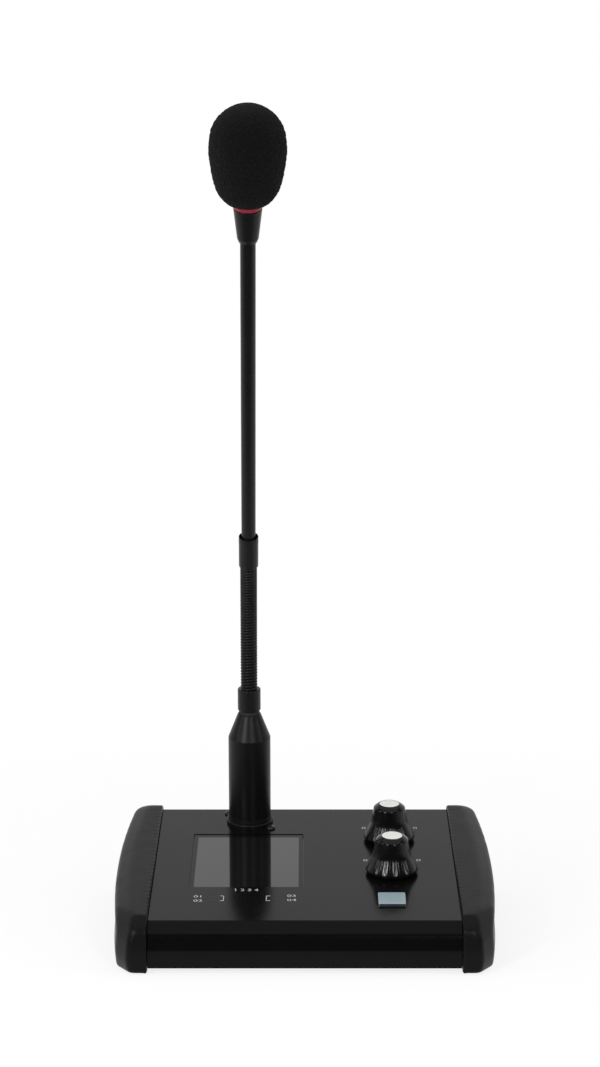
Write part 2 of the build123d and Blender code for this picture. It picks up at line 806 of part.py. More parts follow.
switch_top = pot_floor + switch_height
button_skirt = -switch_top - button_travel - button_floor_gap
button_ceiling = button_rise - button_wall
stem_end = button_ceiling - button_stem_length
with BuildPart() as talk_switch:
    with BuildSketch(button_place.offset(pot_floor)):
        Rectangle(switch_size, switch_size)
    extrude(amount=switch_height)
    with BuildSketch(button_place.offset(switch_top)):
        Circle(button_stem_diameter / 2 + button_stem_fit)
    extrude(amount=-(switch_top - stem_end + button_travel + cap_running_gap), mode=Mode.SUBTRACT)
write(talk_switch.part, "talk_switch")

with BuildPart() as talk_button:
    with BuildSketch(button_place.offset(button_rise)):
        RectangleRounded(button_size, button_size, button_corner)
    extrude(amount=-(button_rise + button_skirt))
    with BuildSketch(button_place.offset(-button_skirt)):
        Rectangle(button_size - 2 * button_wall, button_size - 2 * button_wall)
    extrude(amount=button_skirt + button_ceiling, mode=Mode.SUBTRACT)
    fillet(talk_button.faces().sort_by(axis_of(button_place))[-1].edges(), button_edge_radius)
    with BuildSketch(button_place.offset(button_ceiling)):
        Circle(button_stem_diameter / 2)
    extrude(amount=-button_stem_length)
write(talk_button.part, "talk_button")

with BuildPart() as talk_spring:
    with BuildSketch(button_place.offset(switch_top)):
        Circle(button_stem_diameter / 2 + spring_gap + spring_wall)
        Circle(button_stem_diameter / 2 + spring_gap, mode=Mode.SUBTRACT)
    extrude(amount=button_ceiling - switch_top)
write(talk_spring.part, "talk_spring")

# Stem socket under the panel: barrel with its flange, trim ring on top, insert and contacts
shell_radius = shell_diameter / 2
shell_bore = shell_radius - shell_wall
insert_radius = shell_bore - insert_gap
insert_base = socket_floor - socket_depth
plug_base = socket_ring_height - plug_insert_height
insert_height = plug_base - insert_face_gap - insert_base
contact_bore = pin_diameter + 2 * pin_fit
contact_diameter = contact_bore + 2 * contact_wall

with BuildPart() as stem_socket:
    with BuildSketch(stem):
        Circle(socket_barrel_diameter / 2)
    extrude(amount=-socket_depth)
    with BuildSketch(panel.offset(-sheet)):
        with Locations((stem_x, stem_v)):
            Rectangle(socket_flange_width, socket_flange_length)
    extrude(amount=-socket_flange_thickness)
    with BuildSketch(stem):
        Circle(shell_radius + shell_fit)
    extrude(amount=insert_base, mode=Mode.SUBTRACT)
    with BuildSketch(panel.offset(-sheet)):
        with Locations((stem_x - socket_screw_x, stem_v + socket_screw_v)):
            Circle(socket_screw_diameter / 2 + screw_fit)
        with Locations((stem_x + socket_screw_x, stem_v - socket_screw_v)):
            Circle(socket_screw_diameter / 2 + screw_fit)
    extrude(amount=-socket_flange_thickness, mode=Mode.SUBTRACT)
write(stem_socket.part, "stem_socket")

with BuildPart() as socket_ring:
    with BuildSketch(stem):
        Circle(socket_ring_diameter / 2)
        Circle(shell_radius + shell_fit, mode=Mode.SUBTRACT)
    extrude(amount=socket_ring_height)
    fillet(socket_ring.edges().group_by(axis_of(stem))[-1].sort_by(SortBy.LENGTH)[-1], socket_ring_edge)
write(socket_ring.part, "socket_ring")

with BuildPart() as socket_insert:
    with BuildSketch(stem.offset(insert_base)):
        Circle(insert_radius)
        with PolarLocations(contact_circle / 2, 3):
            Circle(contact_diameter / 2 + fit_gap, mode=Mode.SUBTRACT)
    extrude(amount=insert_height)
write(socket_insert.part, "socket_insert")

with BuildPart() as socket_contacts:
    with BuildSketch(stem.offset(insert_base)):
        with PolarLocations(contact_circle / 2, 3):
            Circle(contact_diameter / 2)
            Circle(contact_bore / 2, mode=Mode.SUBTRACT)
    extrude(amount=insert_height)
write(socket_contacts.part, "socket_contacts")

with BuildPart() as socket_screws:
    for reach, radius in (
        (socket_screw_head_height, socket_screw_head_diameter / 2),
        (-socket_screw_length, socket_screw_diameter / 2),
    ):
        with BuildSketch(panel):
            with Locations((stem_x - socket_screw_x, stem_v + socket_screw_v)):
                Circle(radius)
            with Locations((stem_x + socket_screw_x, stem_v - socket_screw_v)):
                Circle(radius)
        extrude(amount=reach)
write(socket_screws.part, "socket_screws")

# Plug in the pedestal's foot: insert and pins
with BuildPart() as plug_insert:
    with BuildSketch(stem.offset(plug_base)):
        Circle(shell_bore - fit_gap)
        with PolarLocations(contact_circle / 2, 3):
            Circle(pin_diameter / 2 + fit_gap, mode=Mode.SUBTRACT)
    extrude(amount=plug_insert_height)
write(plug_insert.part, "plug_insert")

with BuildPart() as plug_pins:
    with BuildSketch(stem.offset(socket_ring_height + pin_tail)):
        with PolarLocations(contact_circle / 2, 3):
            Circle(pin_diameter / 2)
    extrude(amount=-pin_length)
write(plug_pins.part, "plug_pins")

# Pedestal: shell, foot, cylinder and cone turned in one piece, hollow for the plug and the lead
pedestal_radius = pedestal_diameter / 2
spigot_bore = spigot_diameter / 2 + fit_gap
with BuildPart() as pedestal:
    with BuildSketch(upright(stem)):
        with BuildLine():
            Polyline(
                (shell_bore, -shell_reach),
                (shell_radius, -shell_reach),
                (shell_radius, socket_ring_height),
                (pedestal_radius + pedestal_foot_flare, socket_ring_height),
                (pedestal_radius, socket_ring_height + pedestal_foot_height),
                (pedestal_radius, pedestal_top),
                (cone_top_diameter / 2, cone_top),
                (spigot_bore, cone_top),
                (spigot_bore, cone_top - spigot_length - pedestal_wall),
                (shell_bore, pedestal_top - pedestal_wall),
                close=True,
            )
        make_face()
    revolve(axis=axis_of(stem))
write(pedestal.part, "pedestal")

# Seal and sleeve on top of the cone
sleeve_base = cone_top + seal_height
sleeve_top = sleeve_base + sleeve_length
with BuildPart() as sleeve_seal:
    with BuildSketch(stem.offset(cone_top)):
        Circle(seal_diameter / 2)
        Circle(spigot_bore, mode=Mode.SUBTRACT)
    extrude(amount=seal_height)
write(sleeve_seal.part, "sleeve_seal")

with BuildPart() as stem_sleeve:
    with BuildSketch(upright(stem)):
        with BuildLine():
            Polyline(
                (lead_bore / 2, cone_top - spigot_length),
                (spigot_diameter / 2, cone_top - spigot_length),
                (spigot_diameter / 2, sleeve_base),
                (sleeve_diameter / 2, sleeve_base),
                (sleeve_diameter / 2, sleeve_top - sleeve_chamfer),
                (sleeve_diameter / 2 - sleeve_chamfer, sleeve_top),
                (lead_bore / 2, sleeve_top),
                close=True,
            )
        make_face()
    revolve(axis=axis_of(stem))
write(stem_sleeve.part, "stem_sleeve")

# Gooseneck: ribs round a centreline that is straight at both ends and bends evenly between them. Its upper
# half mirrors the lower one
neck_arc = neck_length - 2 * neck_straight
neck_bend_radius = neck_arc / radians(neck_bend)


def neck_plane(length):
    """The plane square to the gooseneck at a length along it, always with the same x direction."""
    bent = min(max(length - neck_straight, 0), neck_arc)
    angle = bent / neck_bend_radius
    beyond = length - bent
    forward = neck_bend_radius * (1 - cos(angle)) + max(beyond - neck_straight, 0) * sin(angle)
    up = sleeve_top + min(beyond, neck_straight) + neck_bend_radius * sin(angle)
    up += max(beyond - neck_straight, 0) * cos(angle)
    return Plane(stem.location * Location((0, -forward, up), (angle * 180 / pi, 0, 0)))


half_ribs = neck_ribs // 2
rib_pitch = neck_length / (2 * half_ribs)
with BuildPart() as neck_bore_run:
    for run in range(bore_runs + 1):
        with BuildSketch(neck_plane(neck_length / 2 * run / bore_runs)):
            RegularPolygon(neck_bore / 2, neck_sides)
    loft(ruled=True)

with BuildPart() as gooseneck_lower:
    with BuildSketch(neck_plane(0)):
        RegularPolygon(neck_diameter / 2 - rib_depth, neck_sides)
    for rib in range(half_ribs):
        for place_share, rise_share in zip(rib_place_shares, rib_rise_shares):
            with BuildSketch(neck_plane((rib + place_share) * rib_pitch)):
                RegularPolygon(neck_diameter / 2 - rib_depth * (1 - rise_share), neck_sides)
    with BuildSketch(neck_plane(neck_length / 2)):
        RegularPolygon(neck_diameter / 2 - rib_depth, neck_sides)
    loft(ruled=True)
    add(neck_bore_run.part, mode=Mode.SUBTRACT)
write(gooseneck_lower.part, "gooseneck_lower")

with BuildPart() as gooseneck_upper:
    add(gooseneck_lower.part)
    mirror(about=neck_plane(neck_length / 2), mode=Mode.REPLACE)
write(gooseneck_upper.part, "gooseneck_upper")

# Collar with a hollow mouth round the upper tube
collar_frame = neck_plane(neck_length)
tube_foot = collar_length - collar_mouth_depth - tube_seat
tube_start = collar_length
holder_start = tube_start + tube_visible_length
with BuildPart() as gooseneck_collar:
    with BuildSketch(upright(collar_frame)):
        with BuildLine():
            Polyline(
                (neck_bore / 2, 0),
                (collar_diameter / 2 - collar_chamfer, 0),
                (collar_diameter / 2, collar_chamfer),
                (collar_diameter / 2, collar_length - collar_mouth_depth),
                (collar_mouth_diameter / 2, collar_length),
                (collar_mouth_diameter / 2 - collar_mouth_wall, collar_length),
                (tube_foot_diameter / 2 + fit_gap, collar_length - collar_mouth_depth),
                (tube_foot_diameter / 2 + fit_gap, tube_foot),
                (neck_bore / 2, tube_foot),
                close=True,
            )
        make_face()
    revolve(axis=axis_of(collar_frame))
write(gooseneck_collar.part, "gooseneck_collar")

# Upper tube, a little wider at the head
tube_top = holder_start + holder_seat
with BuildPart() as upper_tube:
    with BuildSketch(upright(collar_frame)):
        with BuildLine():
            Polyline(
                (tube_foot_diameter / 2 - tube_wall, tube_foot),
                (tube_foot_diameter / 2, tube_foot),
                (tube_foot_diameter / 2, tube_start),
                (tube_head_diameter / 2, holder_start),
                (tube_head_diameter / 2, tube_top),
                (tube_head_diameter / 2 - tube_wall, tube_top),
                close=True,
            )
        make_face()
    revolve(axis=axis_of(collar_frame))
write(upper_tube.part, "upper_tube")

# Capsule holder, light ring, capsule housing and capsule
head = collar_frame.offset(holder_start)
holder_foot_diameter = tube_head_diameter + 2 * (fit_gap + holder_foot_wall)
capsule_diameter = housing_diameter - 2 * (housing_wall + capsule_fit)
housing_foot = holder_length - housing_seat
with BuildPart() as capsule_holder:
    with BuildSketch(upright(head)):
        with BuildLine():
            Polyline(
                (tube_head_diameter / 2 + fit_gap, 0),
                (holder_foot_diameter / 2 - holder_foot_bevel, 0),
                (holder_foot_diameter / 2, holder_shoulder),
                (holder_head_diameter / 2, holder_length),
                (housing_diameter / 2 + fit_gap, holder_length),
                (housing_diameter / 2 + fit_gap, housing_foot),
                (tube_head_diameter / 2 - tube_wall, housing_foot),
                (tube_head_diameter / 2 - tube_wall, holder_seat),
                (tube_head_diameter / 2 + fit_gap, holder_seat),
                close=True,
            )
        make_face()
    revolve(axis=axis_of(head))
write(capsule_holder.part, "capsule_holder")

with BuildPart() as light_ring:
    with BuildSketch(head.offset(holder_length)):
        Circle(ring_diameter / 2)
        Circle(housing_diameter / 2 + fit_gap, mode=Mode.SUBTRACT)
    extrude(amount=ring_height)
write(light_ring.part, "light_ring")

slot_middle = housing_foot + housing_length - housing_wall - housing_slot_length
with BuildPart() as capsule_housing:
    with BuildSketch(head.offset(housing_foot)):
        Circle(housing_diameter / 2)
    extrude(amount=housing_length)
    with BuildSketch(head.offset(housing_foot)):
        Circle(housing_diameter / 2 - housing_wall)
    extrude(amount=housing_length - housing_wall, mode=Mode.SUBTRACT)
    with BuildSketch(head.offset(housing_foot)):
        Circle(housing_mouth_diameter / 2)
    extrude(amount=housing_length, mode=Mode.SUBTRACT)
    for turn in range(housing_slots // 2):
        turned_head = Plane(head.location * Location((0, 0, slot_middle), (0, 0, turn * 360 / housing_slots)))
        with BuildSketch(upright(turned_head)):
            SlotOverall(housing_slot_length, housing_slot_width, rotation=90)
        extrude(amount=housing_diameter, both=True, mode=Mode.SUBTRACT)
write(capsule_housing.part, "capsule_housing")

with BuildPart() as mic_capsule:
    with BuildSketch(head.offset(housing_foot + housing_length - housing_wall)):
        Circle(capsule_diameter / 2)
    extrude(amount=-capsule_height)
write(mic_capsule.part, "mic_capsule")

# Foam windscreen: an egg, widest above its middle, with a bore for the capsule housing
foam_base = holder_length + ring_height + foam_gap
foam_bore_top = housing_foot + housing_length + foam_gap
foam_radius = foam_diameter / 2
foam_frame = head.offset(foam_base)
foam_bore = foam_bore_top - foam_base
foam_points = [
    (foam_radius * radius_share, foam_length * height_share)
    for height_share, radius_share in zip(foam_height_shares, foam_radius_shares)
]
with BuildPart() as foam_windscreen:
    with BuildSketch(upright(foam_frame)):
        with BuildLine():
            Polyline(
                (housing_diameter / 2 + foam_gap, 0), (foam_seat_diameter / 2, 0), *foam_points,
                (0, foam_length), (0, foam_bore), (housing_diameter / 2 + foam_gap, foam_bore), close=True,
            )
        make_face()
    revolve(axis=axis_of(foam_frame))
write(foam_windscreen.part, "foam_windscreen")
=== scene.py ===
"""Looks of the desktop paging microphone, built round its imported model. Metres, +Z up, +Y to the back."""

import json
from math import cos, pi, radians, sin

import bmesh
import bpy
from mathutils import Matrix, Vector, noise


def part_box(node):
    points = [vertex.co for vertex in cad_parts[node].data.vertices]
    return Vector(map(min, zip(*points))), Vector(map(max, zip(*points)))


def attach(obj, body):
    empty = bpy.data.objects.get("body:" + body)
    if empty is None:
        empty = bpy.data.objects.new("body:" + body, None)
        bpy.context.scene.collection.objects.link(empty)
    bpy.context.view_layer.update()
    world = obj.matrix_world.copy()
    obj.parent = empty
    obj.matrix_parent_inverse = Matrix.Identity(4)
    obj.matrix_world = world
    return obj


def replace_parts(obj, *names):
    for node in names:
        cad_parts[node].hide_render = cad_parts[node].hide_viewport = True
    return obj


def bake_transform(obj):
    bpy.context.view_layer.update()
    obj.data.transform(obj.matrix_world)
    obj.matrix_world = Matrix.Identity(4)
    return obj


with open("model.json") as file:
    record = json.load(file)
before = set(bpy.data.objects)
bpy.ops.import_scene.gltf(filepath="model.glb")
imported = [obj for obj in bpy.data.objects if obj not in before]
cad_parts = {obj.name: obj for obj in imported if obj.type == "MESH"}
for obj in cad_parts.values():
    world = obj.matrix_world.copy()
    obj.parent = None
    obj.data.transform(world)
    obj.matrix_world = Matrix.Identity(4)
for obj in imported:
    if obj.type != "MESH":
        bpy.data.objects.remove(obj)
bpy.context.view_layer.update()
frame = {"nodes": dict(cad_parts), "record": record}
nodes = frame["nodes"]
slots = {part["node"]: part["material_slot"] for part in frame["record"]["subparts"]}

# Places that the pieces share with the model
MM = 0.001
SLOPE = radians(8.0)
FOLD = Vector((0, -62.275, 23.2)) * MM
UP_PANEL = Vector((0, cos(SLOPE), sin(SLOPE)))
NORMAL = Vector((0, -sin(SLOPE), cos(SLOPE)))
STEM_X, STEM_V = -26.9 * MM, 118.0 * MM
STEM_TURN = radians(2.0)
SLEEVE_TOP = 68.7 * MM
NECK_LENGTH = 65.4 * MM
NECK_STRAIGHT = 7.6 * MM
NECK_BEND = radians(15.7)
NECK_RIBS = 44

# Lengths of the stem's upper pieces, in mm
COLLAR_LENGTH = 16.1
TUBE_LENGTH = 151.9
HOLDER_LENGTH = 16.2
RING_HEIGHT = 2.2
FOAM_GAP = 0.3


def on_panel(x, v, lift=0.0):
    """A point x to the right and v up the panel from its front fold, in metres."""
    return FOLD + Vector((x, 0, 0)) + UP_PANEL * v + NORMAL * lift


def frame_matrix(origin, x_dir, z_dir):
    """The matrix of a frame with that origin, x direction and z direction."""
    y_dir = z_dir.cross(x_dir)
    matrix = Matrix((x_dir, y_dir, z_dir)).transposed().to_4x4()
    matrix.translation = origin
    return matrix


PANEL = frame_matrix(FOLD, Vector((1, 0, 0)), NORMAL)
STEM = PANEL @ Matrix.Translation((STEM_X, STEM_V, 0)) @ Matrix.Rotation(STEM_TURN, 4, "Z")


def neck_matrix(length):
    """The frame square to the gooseneck at a length along it."""
    arc = NECK_LENGTH - 2 * NECK_STRAIGHT
    radius = arc / NECK_BEND
    bent = min(max(length - NECK_STRAIGHT, 0), arc)
    angle = bent / radius
    beyond = length - bent
    after = max(beyond - NECK_STRAIGHT, 0)
    forward = radius * (1 - cos(angle)) + after * sin(angle)
    up = SLEEVE_TOP + min(beyond, NECK_STRAIGHT) + radius * sin(angle) + after * cos(angle)
    return STEM @ Matrix.Translation((0, -forward, up)) @ Matrix.Rotation(angle, 4, "X")


COLLAR = neck_matrix(NECK_LENGTH)
HEAD = COLLAR @ Matrix.Translation((0, 0, (COLLAR_LENGTH + TUBE_LENGTH) * MM))


# Materials
SMUDGE_SCALE = 3.7  # how much finer the roughness changes than the colour


def new_material(name):
    material = bpy.data.materials.new(name)
    material.use_nodes = True
    return material, material.node_tree.nodes, material.node_tree.links


def noise_node(tree_nodes, links, coords, scale, detail=2.0, rough=0.5):
    node = tree_nodes.new("ShaderNodeTexNoise")
    node.inputs["Scale"].default_value = scale
    node.inputs["Detail"].default_value = detail
    node.inputs["Roughness"].default_value = rough
    links.new(coords.outputs["Object"], node.inputs["Vector"])
    return node


def ranged(tree_nodes, links, source, low, high, start=0.3, stop=0.7):
    """A node that goes from low to high as the source goes from start to stop."""
    node = tree_nodes.new("ShaderNodeMapRange")
    node.inputs["From Min"].default_value = start
    node.inputs["From Max"].default_value = stop
    node.inputs["To Min"].default_value = low
    node.inputs["To Max"].default_value = high
    links.new(source, node.inputs["Value"])
    return node


def add_bump(tree, links, shader, height, depth):
    bump = tree.new("ShaderNodeBump")
    bump.inputs["Strength"].default_value = 1.0
    bump.inputs["Distance"].default_value = depth
    links.new(height, bump.inputs["Height"])
    links.new(bump.outputs["Normal"], shader.inputs["Normal"])


def surface(
    name, colour, rough, spread=0.05, metal=0.0, specular=0.5, tint=0.12, patch=60.0, grain=0.0,
    grain_scale=2500.0,
):
    """A finish with slow colour patches, uneven roughness and, where grain isn't zero, a bump that deep."""
    material, tree, links = new_material(name)
    shader = tree["Principled BSDF"]
    shader.inputs["Metallic"].default_value = metal
    shader.inputs["Specular IOR Level"].default_value = specular
    coords = tree.new("ShaderNodeTexCoord")
    patches = noise_node(tree, links, coords, patch, detail=3.0)
    mix = tree.new("ShaderNodeMix")
    mix.data_type = "RGBA"
    mix.inputs["A"].default_value = [c * (1 - tint) for c in colour] + [1]
    mix.inputs["B"].default_value = [min(1.0, c * (1 + tint)) for c in colour] + [1]
    spot = ranged(tree, links, patches.outputs["Fac"], 0.0, 1.0)
    links.new(spot.outputs["Result"], mix.inputs["Factor"])
    links.new(mix.outputs["Result"], shader.inputs["Base Color"])
    smudge = noise_node(tree, links, coords, patch * SMUDGE_SCALE, detail=4.0, rough=0.6)
    uneven = ranged(tree, links, smudge.outputs["Fac"], max(0.02, rough - spread), min(1.0, rough + spread))
    links.new(uneven.outputs["Result"], shader.inputs["Roughness"])
    if grain:
        fine = noise_node(tree, links, coords, grain_scale)
        add_bump(tree, links, shader, fine.outputs["Fac"], grain)
    return material


FINISHES = {
    "panel_paint": dict(
        colour=(0.0022, 0.0022, 0.0023), rough=0.17, spread=0.02, specular=0.085, tint=0.08, grain=0.000003,
        grain_scale=3500,
    ),
    "tray_paint": dict(
        colour=(0.004, 0.004, 0.0041), rough=0.4, spread=0.06, specular=0.2, grain=0.00001, grain_scale=2200
    ),
    "cap_plastic": dict(
        colour=(0.0040, 0.0041, 0.0042), rough=0.34, spread=0.03, specular=0.067, tint=0.06, patch=35,
        grain=0.000006, grain_scale=3000,
    ),
    "black_screws": dict(
        colour=(0.010, 0.010, 0.010), rough=0.35, spread=0.08, metal=0.4, specular=0.4, grain=0.000008
    ),
    "plated_steel": dict(colour=(0.55, 0.55, 0.52), rough=0.32, spread=0.08, metal=1.0, grain=0.000006),
    "foot_rubber": dict(
        colour=(0.014, 0.014, 0.014), rough=0.75, spread=0.08, specular=0.25, grain=0.00003, grain_scale=1800
    ),
    "board": dict(colour=(0.010, 0.075, 0.032), rough=0.35, spread=0.06, grain=0.000006, grain_scale=1500),
    "brass": dict(colour=(0.72, 0.52, 0.22), rough=0.28, spread=0.06, metal=1.0, grain=0.000005),
    "jack_plastic": dict(colour=(0.012, 0.012, 0.012), rough=0.3, specular=0.4, grain=0.000005),
    "display_plastic": dict(colour=(0.05, 0.05, 0.052), rough=0.3),
    "aluminium": dict(colour=(0.68, 0.68, 0.68), rough=0.3, spread=0.06, metal=1.0, grain=0.000005),
    "knob_plastic": dict(colour=(0.0024, 0.0024, 0.0025), rough=0.17, spread=0.02, specular=0.22),
    "knob_cap_plastic": dict(colour=(0.60, 0.59, 0.575), rough=0.4, spread=0.06, tint=0.04, grain=0.000004),
    "button_plastic": dict(colour=(0.21, 0.275, 0.30), rough=0.32, tint=0.05, grain=0.000005),
    # painted shade: a darker copy of the button's own plastic, for the plates on its sides
    "button_side_painted_shade": dict(colour=(0.026, 0.029, 0.037), rough=0.35, tint=0.08, grain=0.000005),
    "dark_plastic": dict(colour=(0.015, 0.015, 0.015), rough=0.5, spread=0.06, grain=0.00001),
    "gloss_black": dict(colour=(0.0024, 0.0024, 0.0025), rough=0.39, spread=0.02, specular=0.17),
    "satin_black": dict(
        colour=(0.0045, 0.0045, 0.0046), rough=0.30, specular=0.18, grain=0.000004, grain_scale=3500
    ),
    "gooseneck_steel": dict(
        colour=(0.004, 0.004, 0.0041), rough=0.38, spread=0.04, specular=0.16, grain=0.000003
    ),
    "ring_red": dict(colour=(0.22, 0.012, 0.028), rough=0.3, specular=0.4, tint=0.15, patch=300),
    "lens_border": dict(
        colour=(0.0022, 0.0022, 0.0023), rough=0.14, spread=0.02, specular=0.085, tint=0.05, grain=0.000001
    ),
    "screen_glass": dict(
        colour=(0.0045, 0.0045, 0.0047), rough=0.05, spread=0.015, specular=0.42, tint=0.10, patch=25
    ),
    "window": dict(colour=(0.004, 0.004, 0.004), rough=0.05, spread=0.01, specular=0.3, tint=0.1),
    "legend": dict(colour=(0.42, 0.42, 0.41), rough=0.5, specular=0.2, tint=0.05, patch=400),
    "legend_dim": dict(colour=(0.028, 0.028, 0.027), rough=0.5, specular=0.2, tint=0.05, patch=400),
}


def foam_material():
    """Open-cell foam: a bump from cells in two sizes, and painted shade that makes the cells' hollows darker
    than the strands between them.
    """
    material, tree, links = new_material("foam_cells")
    shader = tree["Principled BSDF"]
    shader.inputs["Roughness"].default_value = 0.95
    shader.inputs["Specular IOR Level"].default_value = 0.08
    shader.inputs["Sheen Weight"].default_value = 0.02
    shader.inputs["Sheen Roughness"].default_value = 0.6
    coords = tree.new("ShaderNodeTexCoord")
    cells = tree.new("ShaderNodeTexVoronoi")
    cells.feature = "F1"
    cells.inputs["Scale"].default_value = 1500.0
    links.new(coords.outputs["Object"], cells.inputs["Vector"])
    fine = noise_node(tree, links, coords, 3800.0, detail=3.0)
    # each cell's depth: it drives the bump, and it also paints shade, darker in the hollows and lighter on
    # the strands
    pore_depth_and_shade = ranged(tree, links, cells.outputs["Distance"], 0.0, 1.0, start=0.1, stop=0.65)
    mix = tree.new("ShaderNodeMix")
    mix.data_type = "RGBA"
    mix.inputs["A"].default_value = (0.0004, 0.0004, 0.0004, 1)
    mix.inputs["B"].default_value = (0.0024, 0.0024, 0.0025, 1)
    links.new(pore_depth_and_shade.outputs["Result"], mix.inputs["Factor"])
    links.new(mix.outputs["Result"], shader.inputs["Base Color"])
    height = tree.new("ShaderNodeMath")
    height.operation = "ADD"
    links.new(pore_depth_and_shade.outputs["Result"], height.inputs[0])
    links.new(fine.outputs["Fac"], height.inputs[1])
    add_bump(tree, links, shader, height.outputs["Value"], 0.00025)
    return material


finishes = {name: surface(name, **values) for name, values in FINISHES.items()}
finishes["foam"] = foam_material()

for name, slot in slots.items():
    nodes[name].data.materials.clear()
    nodes[name].data.materials.append(finishes[slot])


# Mesh helpers
SHARP_ANGLE = radians(38)
LONG_SPAN = 1.0  # mm; a turned profile's longer spans get more points
SPAN_STEP = 3.0
END_STEP = 0.06
ARC_STEPS = 5


def linked(name, data):
    """A new object in the scene."""
    piece = bpy.data.objects.new(name, data)
    bpy.context.scene.collection.objects.link(piece)
    return piece


def applied(maker):
    """The mesh that an object has with its modifiers; the object itself is removed."""
    bpy.context.view_layer.update()
    data = bpy.data.meshes.new_from_object(maker.evaluated_get(bpy.context.evaluated_depsgraph_get()))
    bpy.data.objects.remove(maker)
    return data


def mesh_piece(name, points, faces, body, finish, matrix=None, smooth=True):
    """A piece from points and faces in metres, which rides on a body where one is named."""
    data = bpy.data.meshes.new(name)
    data.from_pydata([tuple(p) for p in points], [], faces)
    if matrix is not None:
        data.transform(matrix)
    data.validate()
    data.polygons.foreach_set("use_smooth", [smooth] * len(data.polygons))
    if smooth:
        data.set_sharp_from_angle(angle=SHARP_ANGLE)
    piece = linked(name, data)
    data.materials.append(finish)
    if body:
        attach(piece, body)
    return piece


def tube_faces(rings, sides):
    """Faces of a grid of rings, each with the same number of points round it."""
    faces = []
    for ring in range(rings - 1):
        here, above = ring * sides, (ring + 1) * sides
        for side in range(sides):
            after = (side + 1) % sides
            faces.append((here + side, here + after, above + after, above + side))
    return faces


def smooth_line(points, steps):
    """A Catmull-Rom curve through points, with that many steps in each span."""
    points = [Vector(p) for p in points]
    ends = [2 * points[0] - points[1]] + points + [2 * points[-1] - points[-2]]
    out = []
    for a, b, c, d in zip(ends, ends[1:], ends[2:], ends[3:]):
        for step in range(steps):
            t = step / steps
            square, cube = 2 * a - 5 * b + 4 * c - d, 3 * b - a - 3 * c + d
            out.append(0.5 * (2 * b + (c - a) * t + square * t * t + cube * t ** 3))
    out.append(points[-1])
    return out


def plate(name, corner, opposite, bevel, finish, body, matrix=PANEL, slot=None):
    """A plate with rounded edges between two corners given in mm in a frame."""
    mesh = bmesh.new()
    bmesh.ops.create_cube(mesh, size=1.0)
    low, high = Vector(corner) * MM, Vector(opposite) * MM
    for vertex in mesh.verts:
        vertex.co = Vector([a + (b - a) * (c + 0.5) for a, b, c in zip(low, high, vertex.co)])
    bmesh.ops.bevel(mesh, geom=mesh.edges[:], offset=bevel * MM, segments=3, profile=0.5, affect="EDGES")
    data = bpy.data.meshes.new(name)
    mesh.to_mesh(data)
    mesh.free()
    data.transform(matrix)
    data.materials.append(finish)
    piece = linked(name, data)
    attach(piece, body)


def finer(profile):
    """The profile with more points on its long spans, near their ends and between, for an even shading."""
    out = [profile[0]]
    for (r0, z0), (r1, z1) in zip(profile, profile[1:]):
        span = ((r1 - r0) ** 2 + (z1 - z0) ** 2) ** 0.5
        if span > LONG_SPAN:
            steps = int(span / SPAN_STEP) + 1
            shares = [END_STEP / span] + [step / steps for step in range(1, steps)] + [1 - END_STEP / span]
            out += [(r0 + (r1 - r0) * share, z0 + (z1 - z0) * share) for share in shares]
        out.append((r1, z1))
    return out


def turned(name, profile, sides, body, finish, matrix, shape=None, hollow=False):
    """A piece turned from a profile of (radius, height) in mm.

    shape(turn, radius, height) may change a radius. A hollow piece's profile goes all the way round its wall;
    the others are closed flat at both ends.
    """
    profile = finer(profile)
    points = []
    for radius, height in profile:
        for side in range(sides):
            turn = 2 * pi * side / sides
            reach = shape(turn, radius, height) if shape else radius
            points.append(Vector((reach * cos(turn), reach * sin(turn), height)) * MM)
    last = (len(profile) - 1) * sides
    faces = tube_faces(len(profile), sides)
    if hollow:
        faces += [(last + side, last + (side + 1) % sides, (side + 1) % sides, side) for side in range(sides)]
    else:
        faces.append(tuple(range(sides - 1, -1, -1)))
        faces.append(tuple(range(last, last + sides)))
    return mesh_piece(name, points, faces, body, finish, matrix)


def rounded(profile, places, radius):
    """The profile with arcs in place of the corners at those places."""
    out = []
    for index, corner in enumerate(profile):
        if index not in places:
            out.append(corner)
            continue
        here = Vector((*corner, 0))
        before = Vector((*profile[index - 1], 0)) - here
        after = Vector((*profile[(index + 1) % len(profile)], 0)) - here
        start, stop = here + before.normalized() * radius, here + after.normalized() * radius
        for step in range(ARC_STEPS + 1):
            t = step / ARC_STEPS
            point = start * (1 - t) ** 2 + here * 2 * t * (1 - t) + stop * t * t
            out.append((point.x, point.y))
    return out


# Gooseneck: a wound tube in two halves, each in place of one of the model's gooseneck parts
NECK_RADIUS = 8.1 / 2 * MM
NECK_PITCH = NECK_LENGTH / NECK_RIBS
NECK_MIDDLE = NECK_LENGTH / 2
RIB_DEPTH = 0.62 * MM
RIB_FULLNESS = 0.55  # below 1 the ribs are round and the grooves between them narrow
NECK_SIDES = 40
RIB_STEPS = 9


def winding(name, first, last, node):
    rings = int(round((last - first) / NECK_PITCH)) * RIB_STEPS + 1
    points = []
    for ring in range(rings):
        length = first + (last - first) * ring / (rings - 1)
        matrix = neck_matrix(length)
        for side in range(NECK_SIDES):
            turn = 2 * pi * side / NECK_SIDES
            phase = (length / NECK_PITCH - turn / (2 * pi)) % 1.0
            rise = abs(sin(pi * phase)) ** RIB_FULLNESS
            radius = NECK_RADIUS - RIB_DEPTH * (1 - rise)
            points.append(matrix @ Vector((radius * cos(turn), radius * sin(turn), 0)))
    steel = "gooseneck_steel"
    piece = mesh_piece(name, points, tube_faces(rings, NECK_SIDES), None, finishes[steel])
    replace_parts(piece, node)
    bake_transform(piece)


winding("gooseneck_winding_lower", 0.0, NECK_MIDDLE, "gooseneck_lower")
winding("gooseneck_winding_upper", NECK_MIDDLE, NECK_LENGTH, "gooseneck_upper")


